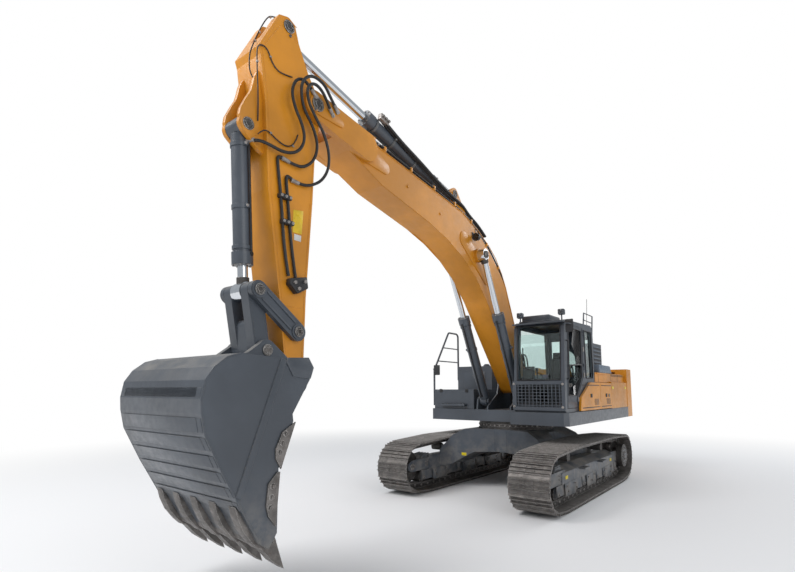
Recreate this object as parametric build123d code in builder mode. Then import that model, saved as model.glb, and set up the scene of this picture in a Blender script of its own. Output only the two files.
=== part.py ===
"""Crawler excavator, heavy class, with boom, arm and bucket: one node for each sub-part.

Frame: origin on the ground under the swing axis, +X to the boom's side, +Y to the
cab's side, +Z up. Millimetres. Side outlines are (x, z), plans (x, y), fronts (y, z).
"""
from build123d import *
from math import acos, atan2, ceil, cos, degrees, hypot, pi, radians, sin
import os

os.makedirs("parts", exist_ok=True)

# ---- driving sizes: undercarriage --------------------------------------------
TRACK_GAUGE = 2550.0        # centre to centre of the two tracks
SHOE_WIDTH = 650.0
SHOE_COUNT = 50             # shoes in one track
SHOE_THICK = 20.0
GROUSER = 35.0              # height of a grouser above its shoe
LINK_DROP = 45.0            # pin line to the links' rolling face
LINK_RISE = 55.0            # pin line to the shoes' inner face
LINK_WIDTH = 190.0
IDLER_X, IDLER_Z = 2010.0, 480.0
SPROCKET_X, SPROCKET_Z = -2015.0, 490.0
WHEEL_PIN_R = 340.0         # pin line round the idler and the sprocket
CARRIER_X, CARRIER_R = 950.0, 75.0
TOP_RUN_Z = 875.0           # pin line at the carrier rollers
ROLLER_R = 100.0
ROLLER_COUNT = 9
ROLLER_SPAN = 3300.0        # first to last bottom roller
EASE = 18.0                 # belt's extra radius over the end and carrier rollers
FRAME_WIDTH = 330.0         # width of a track frame's beam
BEAM_Z0, BEAM_Z1, BEAM_TOP = 380.0, 560.0, 640.0
RING_R, RING_IN = 720.0, 590.0
RING_Z0, RING_Z1 = 1130.0, 1280.0

# ---- driving sizes: house ------------------------------------------------------
DECK_Z0, DECK_Z1 = 1280.0, 1500.0
DECK_HALF = 1500.0
SKIRT = 30.0                # skirt and deck plate
CAB_X0, CAB_X1 = -450.0, 1200.0
CAB_Y0, CAB_Y1 = 540.0, 1440.0
CAB_Z0, CAB_Z1 = DECK_Z1, 3110.0
CAB_WALL = 45.0
HOOD_Z = 2350.0
PANEL_Z = 2030.0
HOUSE_X1 = -480.0           # house sides start behind the cab
HOUSE_X0 = -2700.0          # and end at the counterweight
WEIGHT_REAR = -3450.0
WEIGHT_TOP = 2350.0
RUN = 0.3                   # face clearance beside a pin
SEAM = 6.0                  # gap round a door or a lid

# ---- driving sizes: boom, arm and bucket pins, (x, z) as the machine is parked --------
BOOM_FOOT = (50.0, 2000.0)
BOOM_TIP = (5730.0, 5123.0)
ARM_TOP = (6087.0, 5902.0)          # arm cylinder's rod eye
ARM_CYL_BASE = (2500.0, 5160.0)
BUCKET_CYL_BASE = (6527.0, 4587.0)
CRANK = (6415.0, 2870.0)            # rod eye, rockers and link
ROCKER_PIN = (5910.0, 2493.0)
LINK_PIN = (6306.0, 2272.0)
ARM_NOSE = (5894.0, 1951.0)
BOOM_CYL_BASE = (600.0, 1670.0)
BOOM_CYL_EYE = (1915.0, 4206.0)
BOOM_CYL_Y = 352.0
BOOM_HALF = 220.0
ARM_HALF = 210.0
EAR_Y0 = ARM_HALF + RUN             # inner face of what straddles the arm
BUCKET_HALF = 720.0


# ---- drawing aids ------------------------------------------------------------------
def side(points, y0, y1, mode=Mode.ADD):
    """Extrude a side outline (x, z) from y0 to y1."""
    with BuildSketch(Plane.XZ.offset(-y0), mode=Mode.PRIVATE) as outline:
        with BuildLine():
            Polyline(*points, close=True)
        make_face()
    extrude(outline.sketch, amount=y0 - y1, mode=mode)


def plan(points, z0, z1, mode=Mode.ADD):
    """Extrude a plan outline (x, y) from z0 to z1."""
    with BuildSketch(Plane.XY.offset(z0), mode=Mode.PRIVATE) as outline:
        with BuildLine():
            Polyline(*points, close=True)
        make_face()
    extrude(outline.sketch, amount=z1 - z0, mode=mode)


def front(points, x0, x1, mode=Mode.ADD):
    """Extrude a front outline (y, z) from x0 to x1."""
    with BuildSketch(Plane.YZ.offset(x0), mode=Mode.PRIVATE) as outline:
        with BuildLine():
            Polyline(*points, close=True)
        make_face()
    extrude(outline.sketch, amount=x1 - x0, mode=mode)


def block(x0, x1, y0, y1, z0, z1, mode=Mode.ADD):
    """A box between two corners."""
    with Locations((x0, y0, z0)):
        Box(x1 - x0, y1 - y0, z1 - z0, align=(Align.MIN, Align.MIN, Align.MIN), mode=mode)


def across(at, radius, y0, y1, mode=Mode.ADD):
    """A cylinder across the machine at (x, z), from y0 to y1."""
    with Locations((at[0], (y0 + y1) / 2, at[1])):
        Cylinder(radius, abs(y1 - y0), rotation=(90, 0, 0), mode=mode)


def bar(start, end, radius, mode=Mode.ADD):
    """A round bar between two points."""
    run = Vector(*end) - Vector(*start)
    with BuildSketch(Plane(origin=start, z_dir=run), mode=Mode.PRIVATE) as section:
        Circle(radius)
    extrude(section.sketch, amount=run.length, mode=mode)


def tube(points, radius, bend):
    """A round tube along straight runs joined by tangent arcs."""
    with BuildLine(mode=Mode.PRIVATE) as path:
        FilletPolyline(*points, radius=bend)
    with BuildSketch(Plane(origin=path.line @ 0, z_dir=path.line % 0), mode=Mode.PRIVATE) as section:
        Circle(radius)
    sweep(section.sketch, path=path.line)


def slab(a, b, radius_a, radius_b, y0, y1, mode=Mode.ADD):
    """A tapered bar seen from the side: the hull of two round ends at a and b."""
    dx, dz = b[0] - a[0], b[1] - a[1]
    length = hypot(dx, dz)
    turn = acos((radius_a - radius_b) / length)
    heading = atan2(dz, dx)
    left, right = heading + turn, heading - turn

    def on(centre, radius, angle):
        return (centre[0] + radius * cos(angle), centre[1] + radius * sin(angle))

    with BuildSketch(Plane.XZ.offset(-y0), mode=Mode.PRIVATE) as outline:
        with BuildLine():
            Line(on(a, radius_a, right), on(b, radius_b, right))
            ThreePointArc(on(b, radius_b, right), on(b, radius_b, heading), on(b, radius_b, left))
            Line(on(b, radius_b, left), on(a, radius_a, left))
            ThreePointArc(on(a, radius_a, left), on(a, radius_a, heading + pi), on(a, radius_a, right))
        make_face()
    extrude(outline.sketch, amount=y0 - y1, mode=mode)


def toward(a, b, distance):
    """The point at a distance from a, on the way to b, both (x, z)."""
    length = hypot(b[0] - a[0], b[1] - a[1])
    return (a[0] + (b[0] - a[0]) * distance / length, a[1] + (b[1] - a[1]) * distance / length)


def save(piece, name):
    """Label a finished sub-part and write its STEP file."""
    piece.part.label = name
    export_step(piece.part, f"parts/{name}.step")


SIDES = (("left", 1), ("right", -1))


# ---- tracks ----------------------------------------------------------------------
def track_pins():
    """The pins of one track, evenly spaced along a belt round its wheels and rollers."""
    roll = ROLLER_R + LINK_DROP
    ground = LINK_RISE + SHOE_THICK + GROUSER
    carrier = CARRIER_R + LINK_DROP + EASE
    wheels = [  # x, z, radius of the pin line, in the order the belt meets them
        (ROLLER_SPAN / 2, ground + roll + EASE, roll + EASE),
        (IDLER_X, IDLER_Z, WHEEL_PIN_R),
        (CARRIER_X, TOP_RUN_Z - carrier, carrier),
        (-CARRIER_X, TOP_RUN_Z - carrier, carrier),
        (SPROCKET_X, SPROCKET_Z, WHEEL_PIN_R),
        (-ROLLER_SPAN / 2, ground + roll + EASE, roll + EASE),
    ]
    normals = []
    for (x0, z0, r0), (x1, z1, r1) in zip(wheels, wheels[1:] + wheels[:1]):
        length = hypot(x1 - x0, z1 - z0)
        normals.append(atan2(z1 - z0, x1 - x0) - acos((r0 - r1) / length))
    runs = []
    for i, (x, z, r) in enumerate(wheels):
        start, end = normals[i - 1], normals[i]
        turn = (end - start) % (2 * pi)
        runs.append(("arc", x, z, r, start, turn))
        nx, nz, nr = wheels[(i + 1) % len(wheels)]
        p = (x + r * cos(end), z + r * sin(end))
        q = (nx + nr * cos(end), nz + nr * sin(end))
        runs.append(("line", p, q, hypot(q[0] - p[0], q[1] - p[1])))
    total = sum(run[3] * run[5] if run[0] == "arc" else run[3] for run in runs)
    pins = []
    for i in range(SHOE_COUNT):
        rest = total * i / SHOE_COUNT
        for run in runs:
            length = run[3] * run[5] if run[0] == "arc" else run[3]
            if rest <= length:
                break
            rest -= length
        if run[0] == "arc":
            angle = run[4] + rest / run[3]
            pins.append((run[1] + run[3] * cos(angle), run[2] + run[3] * sin(angle)))
        else:
            pins.append(toward(run[1], run[2], rest) if rest else run[1])
    return pins


SHOE_PROFILE = [  # share of the pitch, height over the links' outer face
    (0.0, 0.25 * SHOE_THICK), (0.05, SHOE_THICK),
    (0.10, SHOE_THICK), (0.15, SHOE_THICK + GROUSER), (0.20, SHOE_THICK),
    (0.44, SHOE_THICK), (0.49, SHOE_THICK + GROUSER), (0.54, SHOE_THICK),
    (0.78, SHOE_THICK), (0.83, SHOE_THICK + GROUSER), (0.88, SHOE_THICK),
    (0.95, SHOE_THICK),
]


def track_outline(pins, profile):
    """A closed outline that repeats a profile outside each pair of pins."""
    points = []
    for (x0, z0), (x1, z1) in zip(pins, pins[1:] + pins[:1]):
        pitch = hypot(x1 - x0, z1 - z0)
        tx, tz = (x1 - x0) / pitch, (z1 - z0) / pitch
        for share, height in profile:
            points.append((x0 + tx * share * pitch + tz * height, z0 + tz * share * pitch - tx * height))
    return points


def offset_ring(pins, height):
    """The belt's polygon moved outwards by a height."""
    points = []
    for (xa, za), (x, z), (xb, zb) in zip(pins[-1:] + pins[:-1], pins, pins[1:] + pins[:1]):
        before, after = atan2(z - za, x - xa), atan2(zb - z, xb - x)
        turn = (after - before + pi) % (2 * pi) - pi
        outward = before + turn / 2 - pi / 2
        reach = height / cos(turn / 2)
        points.append((x + reach * cos(outward), z + reach * sin(outward)))
    return points


PINS = track_pins()
PITCH = hypot(PINS[1][0] - PINS[0][0], PINS[1][1] - PINS[0][1])
WHEEL_R = (WHEEL_PIN_R ** 2 - (PITCH / 2) ** 2) ** 0.5 - LINK_DROP - 3      # idler's tread, inside the links
SHOES = track_outline(PINS, [(share, LINK_RISE + height) for share, height in SHOE_PROFILE])
SHOES_INNER = offset_ring(PINS, LINK_RISE)
LINKS_INNER = offset_ring(PINS, -LINK_DROP)

for name, sign in SIDES:
    middle = sign * TRACK_GAUGE / 2
    with BuildPart() as track:
        side(SHOES, middle - SHOE_WIDTH / 2, middle + SHOE_WIDTH / 2)
        side(SHOES_INNER, middle - SHOE_WIDTH / 2, middle + SHOE_WIDTH / 2, mode=Mode.SUBTRACT)
        side(SHOES_INNER, middle - LINK_WIDTH / 2, middle + LINK_WIDTH / 2)
        side(LINKS_INNER, middle - LINK_WIDTH / 2, middle + LINK_WIDTH / 2, mode=Mode.SUBTRACT)
    save(track, f"track_{name}")

# ---- track frames ------------------------------------------------------------------
COLLAR_Y = LINK_WIDTH / 2 + 15.0        # inner face of a roller's collar
ROLLER_Z = LINK_RISE + SHOE_THICK + GROUSER + LINK_DROP + ROLLER_R
for name, sign in SIDES:
    middle = sign * TRACK_GAUGE / 2
    inner, outer = middle - sign * FRAME_WIDTH / 2, middle + sign * FRAME_WIDTH / 2
    with BuildPart() as track_frame:
        front([(inner, BEAM_Z0), (outer, BEAM_Z0), (outer, BEAM_Z1), (middle, BEAM_TOP), (inner, BEAM_TOP)],
              -1560.0, 1480.0)
        for edge in (-1, 1):            # cheeks beside the idler and round the final drive
            y0 = middle + edge * COLLAR_Y
            y1 = y0 + edge * 40.0
            side([(1300, BEAM_Z0), (1900, 400), (2120, 430), (2120, 530), (1900, 570), (1300, 600)],
                 min(y0, y1), max(y0, y1))
            side([(-1400, BEAM_Z0), (-1900, 400), (-2100, 440), (-2100, 540), (-1900, 590), (-1400, 610)],
                 min(y0, y1), max(y0, y1))
            for start in (-ROLLER_SPAN / 2 - 60.0,):
                side([(start, ROLLER_Z - 45), (start + ROLLER_SPAN + 120, ROLLER_Z - 45),
                      (start + ROLLER_SPAN + 120, BEAM_Z0), (start, BEAM_Z0)],
                     min(y0, y1), max(y0, y1))
        for x in (-CARRIER_X, CARRIER_X):   # carrier roller posts
            block(x - 40, x + 40, min(inner, inner + sign * 60), max(inner, inner + sign * 60),
                  BEAM_TOP - 20, TOP_RUN_Z - LINK_DROP - CARRIER_R + 40)
    save(track_frame, f"track_frame_{name}")

with BuildPart() as bottom_rollers:
    for _, sign in SIDES:
        middle = sign * TRACK_GAUGE / 2
        for i in range(ROLLER_COUNT):
            x = -ROLLER_SPAN / 2 + i * ROLLER_SPAN / (ROLLER_COUNT - 1)
            across((x, ROLLER_Z), ROLLER_R - 5, middle - COLLAR_Y, middle + COLLAR_Y)
save(bottom_rollers, "bottom_rollers")

with BuildPart() as carrier_rollers:
    for _, sign in SIDES:
        inner = sign * (TRACK_GAUGE - FRAME_WIDTH) / 2 + sign * 60.0
        for x in (-CARRIER_X, CARRIER_X):
            ends = sorted((inner, inner + sign * 200.0))
            across((x, TOP_RUN_Z - LINK_DROP - CARRIER_R), CARRIER_R - 3, *ends)
save(carrier_rollers, "carrier_rollers")

with BuildPart() as idlers:
    for _, sign in SIDES:
        middle = sign * TRACK_GAUGE / 2
        across((IDLER_X, IDLER_Z), WHEEL_R, middle - 70, middle + 70)
        across((IDLER_X, IDLER_Z), 120, middle - COLLAR_Y, middle + COLLAR_Y)
save(idlers, "idlers")

with BuildPart() as sprockets:
    for _, sign in SIDES:
        middle = sign * TRACK_GAUGE / 2
        across((SPROCKET_X, SPROCKET_Z), WHEEL_R, middle - 45, middle + 45)
        across((SPROCKET_X, SPROCKET_Z), 150, middle - COLLAR_Y, middle + COLLAR_Y)
        ends = sorted((middle + sign * (COLLAR_Y + 40), middle + sign * (COLLAR_Y + 150)))
        across((SPROCKET_X, SPROCKET_Z), 235, *ends)
save(sprockets, "sprockets")

# ---- carbody and swing bearing -------------------------------------------------------
FRAME_INNER = (TRACK_GAUGE - FRAME_WIDTH) / 2
LEG_X, LEG_HALF = 860.0, 250.0          # where a leg meets its track frame
with BuildPart() as carbody:
    with BuildSketch(Plane.XY.offset(BEAM_Z0), mode=Mode.PRIVATE) as spider:
        Circle(RING_R + 20)
        for sx in (-1, 1):
            for sy in (-1, 1):
                with BuildLine():
                    Polyline((0, 0), (sx * 680, 0), (sx * (LEG_X + LEG_HALF), sy * FRAME_INNER),
                             (sx * (LEG_X - LEG_HALF), sy * FRAME_INNER), (0, sy * 600), close=True)
                make_face()
    extrude(spider.sketch, amount=RING_Z0 - BEAM_Z0)
    arch = [(FRAME_INNER, 400), (900, 440), (700, 570), (480, 690), (0, 710)]
    crown = [(0, RING_Z0), (640, RING_Z0), (860, 1010), (FRAME_INNER, 720)]
    profile = [(-y, z) for y, z in arch[:-1]] + [(y, z) for y, z in reversed(arch)]
    profile += [(y, z) for y, z in reversed(crown)][:-1] + [(-y, z) for y, z in crown[1:]]
    front(profile, -LEG_X - LEG_HALF - 10, LEG_X + LEG_HALF + 10, mode=Mode.INTERSECT)
    with Locations((0, 0, 900)):
        Cylinder(420, 600, mode=Mode.SUBTRACT)
save(carbody, "carbody")

with BuildPart() as swing_bearing:
    with Locations((0, 0, (RING_Z0 + RING_Z1) / 2)):
        Cylinder(RING_R, RING_Z1 - RING_Z0)
        Cylinder(RING_IN, RING_Z1 - RING_Z0, mode=Mode.SUBTRACT)
save(swing_bearing, "swing_bearing")

# ---- platform --------------------------------------------------------------------------
WEIGHT_FRONT = HOUSE_X0
NOTCH_X, NOTCH_Y = 760.0, 490.0          # open front between the cab's and the toolbox's decks
DECK = [(NOTCH_X, NOTCH_Y), (1280, NOTCH_Y), (1280, 1430), (1210, DECK_HALF), (HOUSE_X0, DECK_HALF),
        (HOUSE_X0, -DECK_HALF), (NOTCH_X, -DECK_HALF), (NOTCH_X, -NOTCH_Y), (NOTCH_X, 0)]


def inset(points, distance):
    """A plan outline moved inwards."""
    with BuildSketch(mode=Mode.PRIVATE) as shape:
        with BuildLine():
            Polyline(*points, close=True)
        make_face()
        offset(amount=-distance, kind=Kind.INTERSECTION, mode=Mode.REPLACE)
    return shape.sketch


BRACKET_Y = (BOOM_HALF + 5.0, BOOM_HALF + 33.0)        # boom foot bracket plates
CYL_EYE_HALF = 60.0
LUG_Y = BOOM_CYL_Y + 100.0              # outer lugs of the boom cylinders
with BuildPart() as platform:
    plan(DECK, DECK_Z0, DECK_Z1)
    extrude(inset(DECK, SKIRT).moved(Location((0, 0, DECK_Z0))), amount=DECK_Z1 - DECK_Z0 - SKIRT,
            mode=Mode.SUBTRACT)
    with Locations((0, 0, (DECK_Z0 + DECK_Z1) / 2)):      # bearing seat and the two main beams
        Cylinder(RING_R, DECK_Z1 - DECK_Z0)
    for sign in (-1, 1):
        y = sorted((sign * 330, sign * 370))
        block(HOUSE_X0 + SKIRT, NOTCH_X - SKIRT, *y, DECK_Z0, DECK_Z1 - 10)
save(platform, "platform")

with BuildPart() as boom_bracket:
    for sign in (-1, 1):
        foot = [(-700, DECK_Z1), (NOTCH_X - 20, DECK_Z1), (NOTCH_X - 20, 1560), (330, 1800),
                (230, 2090), (50, 2190), (-130, 2090), (-600, 1560)]
        side(foot, *sorted((sign * BRACKET_Y[0], sign * BRACKET_Y[1])))
        y = sorted((sign * BRACKET_Y[1], sign * (BOOM_CYL_Y - CYL_EYE_HALF - RUN)))
        across(BOOM_CYL_BASE, 72, *y)
        lug = [(420, DECK_Z1), (NOTCH_X - 20, DECK_Z1), (700, 1700), (600, 1770), (500, 1700)]
        side(lug, *sorted((sign * LUG_Y, sign * (LUG_Y + 32))))
        across(BOOM_CYL_BASE, 72, *sorted((sign * (BOOM_CYL_Y + CYL_EYE_HALF + RUN), sign * LUG_Y)))
save(boom_bracket, "boom_bracket")

# ---- counterweight -----------------------------------------------------------------------
def weight_plan(front_x, half, rear, inset_by=0.0):
    """Counterweight's plan: straight front, round rear."""
    with BuildSketch(Plane.XY.offset(DECK_Z0), mode=Mode.PRIVATE) as shape:
        with BuildLine():
            Line((front_x, half), (front_x, -half))
            Line((front_x, -half), (-3080, -half))
            ThreePointArc((-3080, -half), (rear, 0), (-3080, half))
            Line((-3080, half), (front_x, half))
        make_face()
    return shape.sketch


LIFT_EYE, LIFT_R, LIFT_THICK = (-3060.0, WEIGHT_TOP + 45), 30.0, 40.0
with BuildPart() as counterweight:
    extrude(weight_plan(WEIGHT_FRONT, DECK_HALF, WEIGHT_REAR), amount=WEIGHT_TOP - DECK_Z0)
    block(WEIGHT_FRONT - 250, WEIGHT_FRONT + 1, -1250, 1250, DECK_Z1, WEIGHT_TOP - 60, mode=Mode.SUBTRACT)
    for y in (-700.0, 700.0):       # lifting eyes
        slab((-3060, WEIGHT_TOP - 20), LIFT_EYE, 60, 55, y - LIFT_THICK / 2, y + LIFT_THICK / 2)
        across(LIFT_EYE, LIFT_R, y - LIFT_THICK, y + LIFT_THICK, mode=Mode.SUBTRACT)
save(counterweight, "counterweight")

with BuildPart() as engine_block:
    block(-2450, -1500, -550, 600, DECK_Z1, 2150)
save(engine_block, "engine_block")

# ---- cab -------------------------------------------------------------------------------------
DOOR = [(1090, 1570), (600, 1570), (560, 1770), (230, 2110), (200, 3010), (980, 3030)]
DOOR_GLASS = [(1020, 1790), (600, 1780), (300, 2120), (280, 2950), (930, 2970)]
CAB_SIDE = [(CAB_X0, CAB_Z0), (1180, CAB_Z0), (CAB_X1, 1600), (CAB_X1, 2030), (1140, 2980), (1060, 3080),
            (-330, CAB_Z1), (-430, 3040), (CAB_X0, 2900)]
GLASS_THICK = 6.0


def grow(points, by):
    """A side outline moved outwards by a distance, as a sketch face."""
    with BuildSketch(mode=Mode.PRIVATE) as shape:
        with BuildLine():
            Polyline(*points, close=True)
        make_face()
        offset(amount=by, kind=Kind.INTERSECTION, mode=Mode.REPLACE)
    return [(v.X, v.Y) for v in ordered(shape.sketch)]


def ordered(shape):
    """The corners of a polygon face in order round its edge."""
    return [edge @ 0 for edge in shape.faces()[0].outer_wire().order_edges()]


HINGE_Z, KNUCKLE, KNUCKLE_LEAF = (2240.0, 2860.0), 60.0, 40.0
DOOR_HINGE = (190.0, CAB_Y1 + 10)


def knuckle(z, leaf):
    """Half a door hinge: a round knuckle and its leaf, towards +x or -x."""
    x, y = DOOR_HINGE
    with Locations((x, y, z + KNUCKLE / 2)):
        Cylinder(10, KNUCKLE)
    block(min(x, x + leaf), max(x, x + leaf), CAB_Y1, CAB_Y1 + 8, z, z + KNUCKLE)


with BuildPart() as cab:
    side(CAB_SIDE, CAB_Y0, CAB_Y1)
    side(grow(CAB_SIDE, -CAB_WALL), CAB_Y0 + CAB_WALL, CAB_Y1 - CAB_WALL, mode=Mode.SUBTRACT)
    side(grow(DOOR, SEAM), CAB_Y1 - CAB_WALL - 1, CAB_Y1 + 1, mode=Mode.SUBTRACT)
    block(CAB_X1 - 150, CAB_X1 + 10, CAB_Y0 + 70, CAB_Y1 - 70, 2060, 3000, mode=Mode.SUBTRACT)   # windscreen
    block(CAB_X1 - 150, CAB_X1 + 10, CAB_Y0 + 70, CAB_Y1 - 70, 1640, 1990, mode=Mode.SUBTRACT)   # lower screen
    side([(60, 2100), (100, 2980), (-300, 2980), (-360, 2200), (-330, 2100)],
         CAB_Y1 - CAB_WALL - 1, CAB_Y1 + 1, mode=Mode.SUBTRACT)                                    # rear quarter
    side([(1040, 1900), (950, 2980), (-300, 2980), (-360, 2000)],
         CAB_Y0 - 1, CAB_Y0 + CAB_WALL + 1, mode=Mode.SUBTRACT)                                     # right side
    block(CAB_X0 - 10, CAB_X0 + CAB_WALL + 20, CAB_Y0 + 90, CAB_Y1 - 90, 2150, 2850, mode=Mode.SUBTRACT)
    for z in HINGE_Z:
        knuckle(z + KNUCKLE + RUN, -KNUCKLE_LEAF)
save(cab, "cab")

with BuildPart() as cab_door:
    side(DOOR, CAB_Y1 - CAB_WALL, CAB_Y1)
    side(DOOR_GLASS, CAB_Y1 - CAB_WALL - 1, CAB_Y1 + 1, mode=Mode.SUBTRACT)
    side(DOOR_GLASS, CAB_Y1 - CAB_WALL / 2 - GLASS_THICK, CAB_Y1 - CAB_WALL / 2)
    for z in HINGE_Z:
        knuckle(z, KNUCKLE_LEAF)
save(cab_door, "cab_door")

with BuildPart() as cab_glass:
    block(CAB_X1 - 62, CAB_X1 - 56, CAB_Y0 + 70, CAB_Y1 - 70, 2060, 2850)
    side([(60, 2100), (100, 2980), (-300, 2980), (-360, 2200), (-330, 2100)],
         CAB_Y1 - CAB_WALL / 2 - GLASS_THICK, CAB_Y1 - CAB_WALL / 2)
    side([(1040, 1900), (950, 2980), (-300, 2980), (-360, 2000)],
         CAB_Y0 + CAB_WALL / 2, CAB_Y0 + CAB_WALL / 2 + GLASS_THICK)
    block(CAB_X0 + 20, CAB_X0 + 26, CAB_Y0 + 90, CAB_Y1 - 90, 2150, 2850)
save(cab_glass, "cab_glass")

with BuildPart() as cab_guard:
    block(CAB_X1, CAB_X1 + 30, CAB_Y0 - 20, CAB_Y1 + 10, 1530, 2030)
    with Locations((CAB_X1 + 15, (CAB_Y0 + CAB_Y1) / 2, 1780)):
        Box(40, 800, 380, mode=Mode.SUBTRACT)
save(cab_guard, "cab_guard")

with BuildPart() as seat:
    block(0, 520, 780, 1240, 1860, 1980)
    side([(-60, 1930), (60, 1930), (-60, 2600), (-160, 2600)], 790, 1230)
    block(60, 440, 850, 1170, CAB_Z0 + CAB_WALL, 1860)
save(seat, "seat")

with BuildPart() as console:
    for y in (600, 1260):
        block(80, 640, y, y + 120, CAB_Z0 + CAB_WALL, 2080)
    block(900, 1000, 620, 800, CAB_Z0 + CAB_WALL, 2250)
save(console, "console")

# ---- house -------------------------------------------------------------------------------------
LEFT_DOORS = (("side_door_front", 570.0, -620.0), ("side_door_rear", -632.0, -1430.0))
SKIN = 40.0
for name, x1, x0 in LEFT_DOORS:
    slant = [(x1, DECK_Z1 + 12), (x1 - 50, 1747), (x1 - 600, PANEL_Z - 10)]
    if name == "side_door_front":
        outline = slant + [(x0, PANEL_Z - 10), (x0, DECK_Z1 + 12)]
    else:
        outline = [(x1, DECK_Z1 + 12), (x1, PANEL_Z - 10), (x0, PANEL_Z - 10), (x0, DECK_Z1 + 12)]
    with BuildPart() as side_door:
        side(outline, CAB_Y1 + 12, CAB_Y1 + 12 + SKIN)
    save(side_door, name)

with BuildPart() as house_left:
    block(HOUSE_X0, HOUSE_X1 - 20, 640, CAB_Y1, PANEL_Z, HOOD_Z - 130)
    block(HOUSE_X0, -1440, 1380, CAB_Y1 + 52, DECK_Z1, PANEL_Z + 10)
    block(HOUSE_X0, HOUSE_X1 - 20, 1380, 1410, DECK_Z1, PANEL_Z + 10)
    for _, _, x in LEFT_DOORS:      # hinge posts
        block(x, x + 40, 1390, CAB_Y1 + 12 - RUN, DECK_Z1, PANEL_Z - 20)
save(house_left, "house_left")

with BuildPart() as house_right:
    block(HOUSE_X0, -1700, -1490, -640, DECK_Z1, HOOD_Z - 130)
save(house_right, "house_right")

with BuildPart() as tank:
    block(-1680, -250, -1490, -640, DECK_Z1, 2400)
save(tank, "tank")

with BuildPart() as toolbox:
    block(-240, 700, -1490, -560, DECK_Z1, 1850)
    block(-200, 660, -1450, -600, DECK_Z1 + 40, 1851, mode=Mode.SUBTRACT)
save(toolbox, "toolbox")

with BuildPart() as toolbox_lid:
    block(-240, 700, -1480, -560, 1850.3, 1890)
save(toolbox_lid, "toolbox_lid")

with BuildPart() as hood:
    block(HOUSE_X0 + 5, -1500, -634, 660, HOOD_Z - 130 + RUN, HOOD_Z)
save(hood, "hood")

with BuildPart() as air_box:
    block(-1500, -900, 700, 1300, HOOD_Z - 130, 2830)
save(air_box, "air_box")

with BuildPart() as handrail:
    tube([(680, -1510, 1560), (680, -1510, 2300), (100, -1510, 3150), (-300, -1510, 3150), (-300, -1510, 2100)],
         20, 90)
save(handrail, "handrail")

FORK_HALF = 80.0            # half the gap between the ears that a rod eye enters
CYL_EAR_Y = 105.0           # inner face of the ears that hold a cylinder's base
# ---- boom ------------------------------------------------------------------------------------------
FOOT_R = 185.0
TIP_R = 165.0
with BuildPart() as boom:
    with BuildSketch(Plane.XZ.offset(BOOM_HALF), mode=Mode.PRIVATE) as boom_side:
        with BuildLine():
            Polyline((2360, 4868), (5030, 5187), (5360, 5225), (5400, 4905), (5128, 4849), (4475, 4610),
                     (3345, 4400))
            ThreePointArc((3345, 4400), (2400, 4085), (1590, 3475))
            Line((1590, 3475), (180, 1870))
            ThreePointArc((180, 1870), (-60, 1850), (-122, 2068))
            Line((-122, 2068), (779, 3834))
            ThreePointArc((779, 3834), (1450, 4410), (2360, 4868))
        make_face()
    extrude(boom_side.sketch, amount=-2 * BOOM_HALF)
    for sign in (-1, 1):
        y = sorted((sign * (BOOM_HALF - 5), sign * (BOOM_HALF + 80)))
        slab((4850, 4990), BOOM_TIP, 190, TIP_R, *y)
    across(BOOM_TIP, TIP_R + 40, -BOOM_HALF + 5, BOOM_HALF - 5, mode=Mode.SUBTRACT)
    for sign in (-1, 1):
        y = sorted((sign * BOOM_HALF, sign * (ARM_HALF + RUN)))
        across(BOOM_TIP, 120, *y)
        y = sorted((sign * BOOM_HALF, sign * (BRACKET_Y[0] - RUN)))
        across(BOOM_FOOT, 150, *y)
    for sign in (-1, 1):
        y = sorted((sign * CYL_EAR_Y, sign * (CYL_EAR_Y + 50)))
        slab((2300, 4850), ARM_CYL_BASE, 160, 105, *y)
save(boom, "boom")

# ---- arm ---------------------------------------------------------------------------------------------
ARM_SIDE = [(5782, 2120), (5765, 2887), (5696, 3970), (5674, 4533), (5620, 4900), (5610, 5250), (5786, 5486),
            (5945, 5791), (6000, 5960), (6110, 6010), (6225, 5966), (6475, 5457), (6447, 5380), (6370, 4900),
            (6300, 3966), (6205, 3360), (6111, 2757), (6030, 2120)]
with BuildPart() as arm:
    side(ARM_SIDE, -ARM_HALF, ARM_HALF)
    across(ARM_NOSE, 120, -ARM_HALF, ARM_HALF)
    side([(5782, 2125), (5790, 1920), (5990, 1900), (6030, 2125)], -ARM_HALF, ARM_HALF)
    across(ROCKER_PIN, 110, -ARM_HALF, ARM_HALF)
    across(BOOM_TIP, 195, -ARM_HALF, ARM_HALF)
    side([(5700, 5560), (5930, 5640), (6200, 5670), (6560, 5670), (6560, 6100), (5700, 6100)], -FORK_HALF, FORK_HALF,
         mode=Mode.SUBTRACT)
    for sign in (-1, 1):
        y = sorted((sign * CYL_EAR_Y, sign * (CYL_EAR_Y + 50)))
        slab((6300, 4560), BUCKET_CYL_BASE, 220, 105, *y)
save(arm, "arm")


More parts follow.
